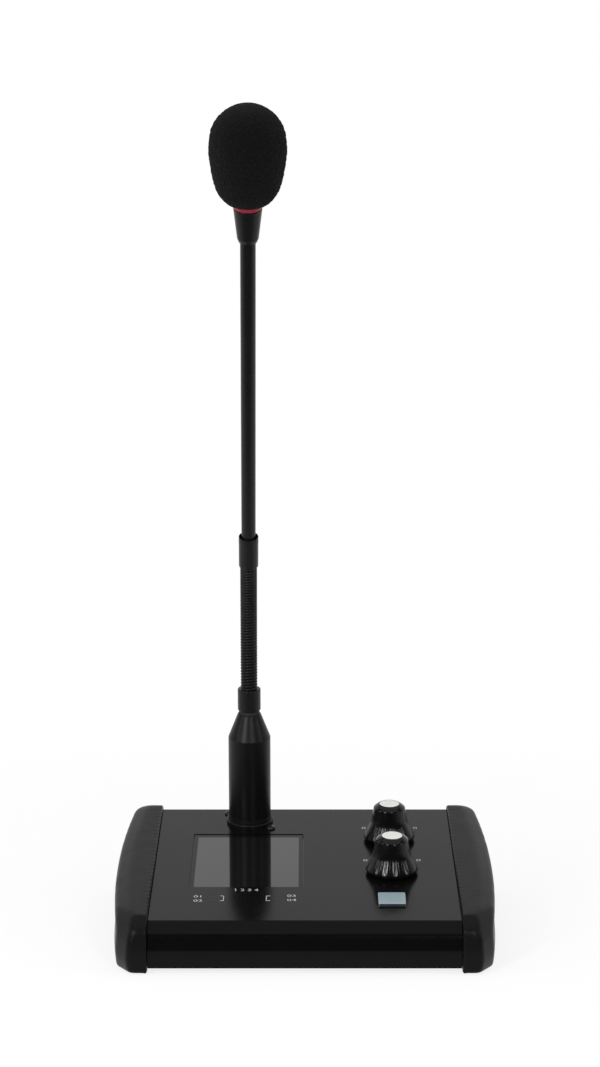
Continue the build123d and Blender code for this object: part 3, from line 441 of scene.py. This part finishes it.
# Stem: the turned pieces below and above the gooseneck, with their edges broken. A profile's points are
# (radius, height) in mm; the numbers after it name the corners that are rounded, and by how much
STEM_SIDES = 160
TUBE_SEAT = 8.1
TUBE_TOP = COLLAR_LENGTH + TUBE_LENGTH
HOLDER_SEAT = 6.0
CAPSULE_SEAT = 11.2
RING_TOP = HOLDER_LENGTH + RING_HEIGHT
pedestal = [
    (7.9, -10.0), (9.5, -10.0), (9.5, 1.9), (10.55, 1.9), (10.5, 2.6), (10.3, 3.4), (10.2, 4.3), (10.2, 44.1),
    (5.5, 56.1), (3.25, 56.1), (3.25, 47.2), (7.9, 42.2),
]
sleeve = [(2.0, 49.1), (3.2, 49.1), (3.2, 58.0), (5.55, 58.0), (5.55, 68.7), (2.0, 68.7)]
socket = [(9.65, 0), (11.3, 0), (11.3, 1.9), (9.65, 1.9)]
collar = [
    (2.2, 0), (4.6, 0), (4.62, 11.6), (4.68, 13.9), (4.6, COLLAR_LENGTH), (4.35, COLLAR_LENGTH), (3.4, 12.1),
    (3.4, TUBE_SEAT), (2.2, TUBE_SEAT),
]
tube = [
    (2.425, TUBE_SEAT), (3.35, TUBE_SEAT), (3.35, COLLAR_LENGTH), (3.475, TUBE_TOP),
    (3.475, TUBE_TOP + HOLDER_SEAT), (2.675, TUBE_TOP + HOLDER_SEAT),
]
holder = [
    (3.525, 0), (4.1, 0), (4.8, 1.7), (6.45, HOLDER_LENGTH), (4.05, HOLDER_LENGTH), (4.05, CAPSULE_SEAT),
    (2.675, CAPSULE_SEAT), (2.675, HOLDER_SEAT), (3.525, HOLDER_SEAT),
]
ring = [(4.05, HOLDER_LENGTH), (6.3, HOLDER_LENGTH), (6.3, RING_TOP), (4.05, RING_TOP)]
for name, node, profile, places, radius, body, finish, place in (
    ("pedestal_turned", "pedestal", pedestal, (7, 8), 0.35, "console", "gloss_black", STEM),
    ("stem_sleeve_turned", "stem_sleeve", sleeve, (3, 4), 0.5, "console", "satin_black", STEM),
    ("socket_ring_turned", "socket_ring", socket, (2, 3), 0.6, "console", "gloss_black", STEM),
    ("gooseneck_collar_turned", "gooseneck_collar", collar, (1,), 0.5, "head", "satin_black", COLLAR),
    ("upper_tube_turned", "upper_tube", tube, (), 0.1, "head", "satin_black", COLLAR),
    ("capsule_holder_turned", "capsule_holder", holder, (2, 3), 0.3, "head", "satin_black", HEAD),
    ("light_ring_turned", "light_ring", ring, (1, 2), 0.35, "head", "ring_red", HEAD),
):
    profile = rounded(profile, places, radius)
    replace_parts(turned(name, profile, STEM_SIDES, body, finishes[finish], place, hollow=True), node)


# Foam windscreen: an egg of open-cell foam with an uneven skin, closed at the bottom round its seat
FOAM_BASE = (HOLDER_LENGTH + RING_HEIGHT + FOAM_GAP) * MM
FOAM_LENGTH = 45.0 * MM
FOAM_RADIUS = 33.9 / 2 * MM
FOAM_HEIGHTS = (0.0, 0.02, 0.105, 0.19, 0.31, 0.44, 0.56, 0.68, 0.76, 0.835, 0.91, 0.975, 1.0)
FOAM_RADII = (0.43, 0.58, 0.765, 0.855, 0.93, 0.975, 1.0, 0.97, 0.915, 0.81, 0.63, 0.34, 0.0)
FOAM_SEAT = ((4.5, 3.0), (4.5, 0.2), (5.6, 0.0))
FOAM_SKIN_FROM = 6 * MM
FOAM_GRAINS = ((900, 0.3), (2100, 0.2), (120, 0.12))  # each noise's scale and its depth in mm
FOAM_SPAN_STEPS = 14
FOAM_SIDES = 192


def foam_piece():
    outline = [(FOAM_RADIUS * r, 0, FOAM_LENGTH * h) for h, r in zip(FOAM_HEIGHTS, FOAM_RADII)]
    profile = [Vector((radius * MM, 0, height * MM)) for radius, height in FOAM_SEAT]
    profile += smooth_line(outline, FOAM_SPAN_STEPS)
    base = HEAD @ Matrix.Translation((0, 0, FOAM_BASE))
    points = []
    for place in profile[:-1]:
        for side in range(FOAM_SIDES):
            turn = 2 * pi * side / FOAM_SIDES
            point = Vector((place.x * cos(turn), place.x * sin(turn), place.z))
            out = Vector((cos(turn), sin(turn), 0)) * (1 if place.x > FOAM_SKIN_FROM else 0)
            rough = sum(noise.noise(point * scale) * depth for scale, depth in FOAM_GRAINS)
            points.append(base @ (point + out * rough * MM))
    rings = len(profile) - 1
    faces = tube_faces(rings, FOAM_SIDES)
    points.append(HEAD @ Vector((0, 0, FOAM_BASE + FOAM_LENGTH)))
    top, last = len(points) - 1, (rings - 1) * FOAM_SIDES
    faces += [(last + side, last + (side + 1) % FOAM_SIDES, top) for side in range(FOAM_SIDES)]
    piece = mesh_piece("foam_cover", points, faces, "head", finishes["foam"])
    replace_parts(piece, "foam_windscreen")


foam_piece()


# End caps: the moulded forms with every edge softened, and the diagonal front corner cut back by three planes
WELD = 0.002 * MM
CORNER_FILL = (
    (-66.5, 1.5), (-69.3, 9.5), (-69.3, 11), (-68.4, 18.8), (-67.2, 20.6), (-62, 23.5), (-40, 26.5),
    (-40, 1.5),
)
CORNER_FILL_REACH = (70.6, 79.3)
CORNER_CUTS = ((-16.0, 6.5), (20.0, 14.5), (46.0, 19.5))  # each plane's lean in degrees and height in mm
CORNER_X, CORNER_Y = 81.3, -66.35  # where the planes pass, in mm
CORNER_OUTWARD, CORNER_AHEAD = 0.866, 0.5  # the way that an upright plane would face
CAP_VOXEL = 0.6 * MM
CAP_ROUNDS = 5
CAP_OUTSIDE = 71.6 * MM
CAP_OUTSIDE_ROUNDS = 22


def fill_corner(mesh, side):
    """A prism inside the hollow front corner, so that the cuts meet no opening."""
    ends = [
        [mesh.verts.new(Vector((side * x, y, z)) * MM) for y, z in CORNER_FILL] for x in CORNER_FILL_REACH
    ]
    mesh.faces.new(ends[0][::side])
    mesh.faces.new(ends[1][::-side])
    for index in range(len(CORNER_FILL)):
        quad = [ends[0][index - 1], ends[1][index - 1], ends[1][index], ends[0][index]]
        mesh.faces.new(quad[::side])


def cut_corner(mesh, side):
    for lean, height in CORNER_CUTS:
        tilt = radians(lean)
        across = Vector((side * CORNER_OUTWARD * cos(tilt), -CORNER_AHEAD * cos(tilt), sin(tilt)))
        cut = bmesh.ops.bisect_plane(
            mesh, geom=mesh.verts[:] + mesh.edges[:] + mesh.faces[:], clear_outer=True,
            plane_co=Vector((side * CORNER_X, CORNER_Y, height)) * MM, plane_no=across,
        )
        rim = [edge for edge in cut["geom_cut"] if isinstance(edge, bmesh.types.BMEdge)]
        bmesh.ops.holes_fill(mesh, edges=rim, sides=0)


def soft_cap(name, side):
    """The moulding of an end cap: side is 1 on the right and -1 on the left."""
    mesh = bmesh.new()
    mesh.from_mesh(nodes[name].data)
    bmesh.ops.remove_doubles(mesh, verts=mesh.verts, dist=WELD)
    fill_corner(mesh, side)
    cut_corner(mesh, side)
    data = bpy.data.meshes.new(name + "_cut")
    mesh.to_mesh(data)
    mesh.free()
    maker = linked(name + "_maker", data)
    remesh = maker.modifiers.new("remesh", "REMESH")
    remesh.mode = "VOXEL"
    remesh.voxel_size = CAP_VOXEL
    soft = applied(maker)
    mesh = bmesh.new()
    mesh.from_mesh(soft)
    outside = [vertex for vertex in mesh.verts if side * vertex.co.x > CAP_OUTSIDE]
    for chosen, rounds in ((mesh.verts[:], CAP_ROUNDS), (outside, CAP_OUTSIDE_ROUNDS)):
        for _ in range(rounds):
            bmesh.ops.smooth_vert(
                mesh, verts=chosen, factor=0.5, use_axis_x=True, use_axis_y=True, use_axis_z=True
            )
    mesh.to_mesh(soft)
    mesh.free()
    soft.name = name + "_moulding"
    soft.polygons.foreach_set("use_smooth", [True] * len(soft.polygons))
    soft.materials.clear()
    soft.materials.append(finishes["cap_plastic"])
    piece = linked(name + "_moulding", soft)
    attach(piece, "console")
    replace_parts(piece, name)


soft_cap("left_end_cap", -1)
soft_cap("right_end_cap", 1)

# Display: a lens that fills the window almost flush, with the glossy screen inside its dull border
LENS, LENS_BEVEL = ((-53.28, 37.72, -1.25), (-0.92, 100.98, -0.28)), 0.16
SCREEN, SCREEN_BEVEL = ((-51.25, 37.95, -0.35), (-2.85, 97.5, -0.24)), 0.03
plate("display_lens", *LENS, LENS_BEVEL, finishes["lens_border"], "console", slot="window")
plate("display_screen", *SCREEN, SCREEN_BEVEL, finishes["screen_glass"], "console", slot="window")


# Knobs: a fluted flare that ends in a smooth rim, a bevelled shoulder and a pale disc in the top.
# Heights are in mm above the knob's foot
KNOB_X = 40.6
KNOB_GAP = 0.5
KNOB_TOP = 17.7
KNOB_INSIDE = [(3.05, 11.5), (3.05, 4.0), (6.8, 4.0), (6.8, 0.0)]
KNOB_RIM = [(11.5, 0.0), (11.9, 0.5), (12.2, 1.0)]
KNOB_FLARE = [
    (12.3, 1.3), (12.25, 1.8), (12.0, 2.5), (11.35, 3.7), (10.7, 4.9), (10.05, 6.1), (9.45, 7.3), (9.0, 8.4),
    (8.65, 9.6), (8.35, 11.0), (8.0, 13.0), (7.6, 15.3),
]
KNOB_SHOULDER = [
    (7.57, 15.6), (7.45, 15.85), (7.2, 16.1), (6.6, 16.6), (6.0, 17.05), (5.4, 17.4), (5.0, 17.62),
]
KNOB_SEAT = [(4.8, KNOB_TOP), (4.8, KNOB_TOP - 1.0)]
KNOB_DISC = [
    (4.74, KNOB_TOP - 0.98), (4.74, KNOB_TOP - 0.12), (4.66, KNOB_TOP - 0.02), (4.4, KNOB_TOP + 0.05),
    (2.0, KNOB_TOP + 0.1),
]
FLARE_STEPS = 4
DISC_SIDES = 96
FLUTES = 60
FLUTE_SIDES = 8
FLUTE_HALF_DEPTH = 0.025
FLUTE_MIN_RADIUS = 7.0
FLUTE_START, FLUTE_START_LENGTH = 2.2, 2.2
FLUTE_END, FLUTE_END_LENGTH = 2.4, 1.6


def flute(turn, radius, height):
    """The radius of a knob at an angle: fine rounded flutes, which run out at both ends."""
    if radius < FLUTE_MIN_RADIUS or height < FLUTE_START:
        return radius
    below = (height - FLUTE_START) / FLUTE_START_LENGTH
    above = (KNOB_TOP - FLUTE_END - height) / FLUTE_END_LENGTH
    share = min(1.0, below, max(0.0, above))
    return radius - FLUTE_HALF_DEPTH * share * (1 - cos(turn * FLUTES))


def knob(name, v, body):
    """A knob and its disc, at v mm up the panel, on a body."""
    place = PANEL @ Matrix.Translation((KNOB_X * MM, v * MM, KNOB_GAP * MM))
    flare = [(p.x, p.y) for p in smooth_line([(r, z, 0) for r, z in KNOB_FLARE], FLARE_STEPS)]
    profile = KNOB_INSIDE + KNOB_RIM + flare + KNOB_SHOULDER + KNOB_SEAT
    black, pale = "knob_plastic", "knob_cap_plastic"
    sides = FLUTES * FLUTE_SIDES
    piece = turned(name + "_fluted", profile, sides, body, finishes[black], place, flute)
    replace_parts(piece, name)
    piece = turned(name + "_disc", KNOB_DISC, DISC_SIDES, body, finishes[pale], place)
    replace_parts(piece, name + "_cap")


knob("front_knob", 55.5, "front_level_knob")
knob("rear_knob", 95.5, "rear_level_knob")

# Talk button: thin dark plates over its sides, painted shade that makes its sides darker than its top
BUTTON_X, BUTTON_V = 39.6 * MM, 21.9 * MM
BUTTON = PANEL @ Matrix.Translation((BUTTON_X, BUTTON_V, 0))
SIDE_INNER, SIDE_OUTER, SIDE_REACH = 6.14, 6.24, 5.9
SIDE_FOOT, SIDE_TOP, SIDE_BEVEL = -3.0, 1.14, 0.03
for name, low, high in (
    ("front", (-SIDE_REACH, -SIDE_OUTER), (SIDE_REACH, -SIDE_INNER)),
    ("back", (-SIDE_REACH, SIDE_INNER), (SIDE_REACH, SIDE_OUTER)),
    ("left", (-SIDE_OUTER, -SIDE_REACH), (-SIDE_INNER, SIDE_REACH)),
    ("right", (SIDE_INNER, -SIDE_REACH), (SIDE_OUTER, SIDE_REACH)),
):
    plate(
        "talk_button_shaded_side_" + name, (*low, SIDE_FOOT), (*high, SIDE_TOP), SIDE_BEVEL, finishes["button_side_painted_shade"],
        "talk_key", BUTTON, "button_plastic",
    )


# Screws: domed heads with a cross recess, on the places of the model's own screws
SCREW_SIDES = 48
DOME = ((1.0, 0.4), (0.93, 0.7), (0.75, 0.92), (0.5, 1.0))  # shares of the head's radius and height
RECESS_REACH, RECESS_HALF = 0.6, 0.13
RECESS_LEVELS = ((0.5, 0.2), (1.0, 1.05))  # the cross's share of its width, at a share of the head's height


def screws(node, origin, places, head, rise, shank, length):
    """Screws at (x, y, turn) in mm on a frame whose z axis points out of the heads.

    head and rise are the head's radius and height, and shank and length the shank's.
    """
    slot = slots[node]
    dome = [(shank, -length), (shank, 0.0), (head, 0.0)] + [(head * r, rise * z) for r, z in DOME]
    blank = turned(node + "_blank", dome, SCREW_SIDES, None, finishes[slot], Matrix())
    reach, half = head * RECESS_REACH, head * RECESS_HALF
    arm = [(reach, -half), (reach, half), (half, half)]
    cross = [
        (x * cos(turn) - y * sin(turn), x * sin(turn) + y * cos(turn))
        for turn in (0, pi / 2, pi, 3 * pi / 2) for x, y in arm
    ]
    points = [Vector((x * share, y * share, rise * z)) * MM for share, z in RECESS_LEVELS for x, y in cross]
    sides = len(cross)
    faces = tube_faces(2, sides) + [tuple(range(sides - 1, -1, -1)), tuple(range(sides, 2 * sides))]
    cutter = mesh_piece(node + "_cutter", points, faces, None, finishes[slot], smooth=False)
    recess = blank.modifiers.new("recess", "BOOLEAN")
    recess.operation, recess.solver, recess.object = "DIFFERENCE", "EXACT", cutter
    cut = applied(blank)
    bpy.data.objects.remove(cutter)
    points, faces = [], []
    for x, y, turn in places:
        place = origin @ Matrix.Translation((x * MM, y * MM, 0)) @ Matrix.Rotation(turn, 4, "Z")
        faces += [[len(points) + vertex for vertex in face.vertices] for face in cut.polygons]
        points += [place @ vertex.co for vertex in cut.vertices]
    piece = mesh_piece(node + "_recessed", points, faces, "console", finishes[slot])
    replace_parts(piece, node)


COVER_HEAD, COVER_RISE = 2.7, 1.6
low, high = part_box("cover_screws")
BACK_PLACE = (0, high[1] - COVER_RISE * MM, (low[2] + high[2]) / 2)
BACK = Matrix.Translation(BACK_PLACE) @ Matrix.Rotation(-pi / 2, 4, "X")
screws("cover_screws", BACK, ((-58, 0, 0.3), (0, 0, 0.9), (58, 0, 1.3)), COVER_HEAD, COVER_RISE, 1.45, 6.0)
BALLAST_HEAD, BALLAST_RISE = 3.8, 1.8
low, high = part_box("ballast_screws")
BELOW_PLACE = ((low[0] + high[0]) / 2, 0, low[2] + BALLAST_RISE * MM)
BELOW = Matrix.Translation(BELOW_PLACE) @ Matrix.Rotation(pi, 4, "X")
screws("ballast_screws", BELOW, ((0, -35, 0.2), (0, 35, 1.0)), BALLAST_HEAD, BALLAST_RISE, 2.0, 6.0)
SOCKET = PANEL @ Matrix.Translation((STEM_X, STEM_V, 0))
screws("socket_screws", SOCKET, ((-10.33, 9.3, 0.5), (10.33, -9.3, 1.1)), 2.3, 1.2, 1.2, 5.0)


# Contacts in the link port: eight sprung wires that slope down into it from the back
PORT_X = -8.0
CONTACTS = 8
CONTACT_PITCH = 1.02
CONTACT_LINE = ((74.5, 20.3), (66.5, 17.6), (64.5, 17.9))
CONTACT_SECTION = ((-0.2, -0.15), (0.2, -0.15), (0.2, 0.15), (-0.2, 0.15))
CONTACT_ENDS = [(3, 2, 1, 0), (8, 9, 10, 11)]


def link_contacts():
    points, faces = [], []
    for index in range(CONTACTS):
        x = PORT_X + (index - (CONTACTS - 1) / 2) * CONTACT_PITCH
        start = len(points)
        for y, z in CONTACT_LINE:
            points += [Vector((x + dx, y, z + dz)) * MM for dx, dz in CONTACT_SECTION]
        wire = tube_faces(len(CONTACT_LINE), len(CONTACT_SECTION)) + CONTACT_ENDS
        faces += [tuple(start + corner for corner in face) for face in wire]
    mesh_piece("link_contacts", points, faces, "console", finishes["brass"], smooth=False)


link_contacts()


# Legends: plain numbers, brackets and thin leader lines, printed on the panel. Places are x and v in mm
LEGEND_LIFT = 0.03
ZONE_SIZE, ZONE_WIDTH = 3.7, 1.1
STATUS_SIZE, STATUS_WIDTH = 3.4, 1.3
DIAL_SIZE = 3.6
DIAL_LOW_X, DIAL_HIGH_X = 28.6, 52.5


def printed(name, text, x, v, size, align="CENTER", width=1.25):
    """Text on the panel, size mm high and made wider by a factor."""
    curve = bpy.data.curves.new(name, "FONT")
    curve.body = text
    curve.size = size * MM
    curve.align_x = align
    curve.align_y = "CENTER"
    curve.resolution_u = 3
    data = applied(linked(name + "_curve", curve))
    data.transform(Matrix.Diagonal((width, 1, 1, 1)))
    data.transform(PANEL @ Matrix.Translation((x * MM, v * MM, LEGEND_LIFT * MM)))
    data.name = name
    data.materials.clear()
    data.materials.append(finishes["legend"])
    piece = linked(name, data)
    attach(piece, "console")


def strokes(name, boxes, finish):
    """Thin flat strokes on the panel, each from (x0, v0) to (x1, v1)."""
    points, faces = [], []
    for x0, v0, x1, v1 in boxes:
        start = len(points)
        for x, v in ((x0, v0), (x1, v0), (x1, v1), (x0, v1)):
            points.append(on_panel(x * MM, v * MM, LEGEND_LIFT * MM))
        faces.append(tuple(range(start, start + 4)))
    mesh_piece(name, points, faces, "console", finishes[finish], smooth=False)


printed("zone_numbers", "1 2 3 4", -27.0, 33.9, ZONE_SIZE, width=ZONE_WIDTH)
for number, x, v, align in (
    ("01", -46.4, 26.6, "RIGHT"), ("02", -46.4, 21.9, "RIGHT"),
    ("03", -8.2, 27.3, "LEFT"), ("04", -8.2, 22.6, "LEFT"),
):
    printed("status_number_" + number, number, x, v, STATUS_SIZE, align=align, width=STATUS_WIDTH)
for row, v in (("front", 68.7), ("rear", 108.9)):
    printed(row + "_dial_low", "0", DIAL_LOW_X, v, DIAL_SIZE)
    printed(row + "_dial_high", "10", DIAL_HIGH_X, v, DIAL_SIZE)
strokes(
    "status_brackets",
    [
        (-37.2, 21.8, -36.9, 27.5), (-38.5, 21.8, -36.9, 22.3), (-38.5, 27.0, -36.9, 27.5),
        (-17.7, 21.8, -17.4, 27.5), (-17.7, 21.8, -15.8, 22.3), (-17.7, 27.0, -15.8, 27.5),
    ],
    "legend",
)
strokes(
    "leader_lines",
    [
        (-44.0, 26.2, -40.5, 26.6), (-44.0, 21.6, -39.8, 22.0),
        (-13.2, 26.2, -9.6, 26.6), (-13.2, 21.8, -9.6, 22.2),
    ],
    "legend_dim",
)


# Camera, light and floor, in metres. The camera is the one that was fitted to the photograph
CAMERA_PLACE = (0.0, -1.1806, 0.3480)
CAMERA_PITCH = 7.66
SENSOR, FOCAL_LENGTH, SHIFT_X = 36.0, 87.05, -0.0045
LAMPS = (  # name, place, height that it points at, size and power
    ("left", (-1.2, -0.42, 0.6), 0.08, (0.13, 0.6), 3.2),
    ("right", (1.18, -0.46, 0.6), 0.08, (0.12, 0.6), 3),
    ("front_left", (-0.70, -1.12, 0.60), 0.1, (0.15, 0.56), 11),
    ("front_right", (0.40, -1.26, 0.60), 0.1, (0.12, 0.56), 6),
    ("top", (0.0, -0.1, 1.6), 0.1, (2.2, 1.8), 12),
)
# Where a brightness starts and stops changing, then its values there
BACKDROP = (-0.3, 0.6, 0.04, 1.0)
OVERHEAD = (0.55, 0.85, 1.0, 0.2)
FLOOR_MIRRORED = (-0.2, -0.083, 0.03, 1.0)
FLOOR_SEEN = (0.1, 0.45, 0.82, 1.0)
FLOOR_GREY = 0.82
FLOOR_REACH = 6.0
AMBIENT = 0.4


def make_camera():
    data = bpy.data.cameras.new("camera")
    data.sensor_width = SENSOR
    data.lens = FOCAL_LENGTH
    data.shift_x = SHIFT_X
    data.clip_start, data.clip_end = 0.05, 50.0
    camera = linked("camera", data)
    camera.location = CAMERA_PLACE
    camera.rotation_euler = (radians(90 - CAMERA_PITCH), 0, 0)
    bpy.context.scene.camera = camera


def make_lamp(name, place, aim, size, power):
    data = bpy.data.lights.new(name, "AREA")
    data.shape = "RECTANGLE"
    data.size, data.size_y = size
    data.energy = power
    lamp = linked(name, data)
    lamp.location = place
    lamp.rotation_mode = "QUATERNION"
    lamp.rotation_quaternion = (Vector((0, 0, aim)) - Vector(place)).to_track_quat("-Z", "Y")


def combined(tree, links, operation, *values):
    """The result of a Math node whose inputs are sockets or numbers."""
    node = tree.new("ShaderNodeMath")
    node.operation = operation
    for socket, value in zip(node.inputs, values):
        if isinstance(value, (int, float)):
            socket.default_value = value
        else:
            links.new(value, socket)
    return node.outputs["Value"]


def rising(tree, links, source, start, stop, low, high):
    """A smooth change from low to high as the source goes from start to stop."""
    node = ranged(tree, links, source, low, high, start, stop)
    node.interpolation_type = "SMOOTHSTEP"
    return node.outputs["Result"]


def make_world():
    """White where it is seen; in reflections bright behind the object, and dim in front of it and above."""
    world = bpy.data.worlds.new("studio")
    world.use_nodes = True
    tree, links = world.node_tree.nodes, world.node_tree.links
    background = tree["Background"]
    split = tree.new("ShaderNodeSeparateXYZ")
    links.new(tree.new("ShaderNodeTexCoord").outputs["Generated"], split.inputs["Vector"])
    behind = rising(tree, links, split.outputs["Y"], *BACKDROP)
    above = rising(tree, links, split.outputs["Z"], *OVERHEAD)
    path = tree.new("ShaderNodeLightPath").outputs
    glossy = path["Is Glossy Ray"]
    clear = combined(tree, links, "MAXIMUM", path["Is Camera Ray"], path["Is Transmission Ray"])
    mirrored = combined(tree, links, "MULTIPLY", glossy, combined(tree, links, "MULTIPLY", behind, above))
    lit = combined(tree, links, "MULTIPLY_ADD", glossy, -AMBIENT, AMBIENT)
    level = combined(tree, links, "MAXIMUM", combined(tree, links, "MAXIMUM", clear, mirrored), lit)
    links.new(level, background.inputs["Strength"])
    background.inputs["Color"].default_value = (1, 1, 1, 1)
    bpy.context.scene.world = world


def make_floor():
    """A pale floor: shaded near the object where it is seen, and dark in reflections in front of it."""
    size = FLOOR_REACH
    floor = mesh_piece(
        "floor", [(-size, -size, 0), (size, -size, 0), (size, size, 0), (-size, size, 0)], [(0, 1, 2, 3)],
        None, None, smooth=False,
    )
    material, tree, links = new_material("floor_white")
    shader = tree["Principled BSDF"]
    shader.inputs["Base Color"].default_value = (FLOOR_GREY, FLOOR_GREY, FLOOR_GREY, 1)
    shader.inputs["Roughness"].default_value = 0.9
    shader.inputs["Specular IOR Level"].default_value = 0.0
    glow = tree.new("ShaderNodeEmission")
    glow.inputs["Color"].default_value = (1, 1, 1, 1)
    coords = tree.new("ShaderNodeTexCoord").outputs["Object"]
    reach = tree.new("ShaderNodeVectorMath")
    reach.operation = "LENGTH"
    links.new(coords, reach.inputs[0])
    split = tree.new("ShaderNodeSeparateXYZ")
    links.new(coords, split.inputs["Vector"])
    start, stop, low, high = FLOOR_SEEN
    far = ranged(tree, links, reach.outputs["Value"], low, high, start, stop).outputs["Result"]
    ahead = rising(tree, links, split.outputs["Y"], *FLOOR_MIRRORED)
    path = tree.new("ShaderNodeLightPath").outputs
    glossy = path["Is Glossy Ray"]
    clear = combined(tree, links, "MAXIMUM", path["Is Camera Ray"], path["Is Transmission Ray"])
    share = combined(tree, links, "MAXIMUM", combined(tree, links, "MULTIPLY", clear, far), glossy)
    mirrored = combined(tree, links, "MULTIPLY", glossy, ahead)
    links.new(combined(tree, links, "MAXIMUM", clear, mirrored), glow.inputs["Strength"])
    mix = tree.new("ShaderNodeMixShader")
    links.new(share, mix.inputs["Fac"])
    links.new(shader.outputs["BSDF"], mix.inputs[1])
    links.new(glow.outputs["Emission"], mix.inputs[2])
    links.new(mix.outputs["Shader"], tree["Material Output"].inputs["Surface"])
    floor.data.materials.clear()
    floor.data.materials.append(material)


make_camera()
make_world()
make_floor()
for lamp in LAMPS:
    make_lamp(*lamp)
bpy.context.scene.view_settings.view_transform = "Standard"
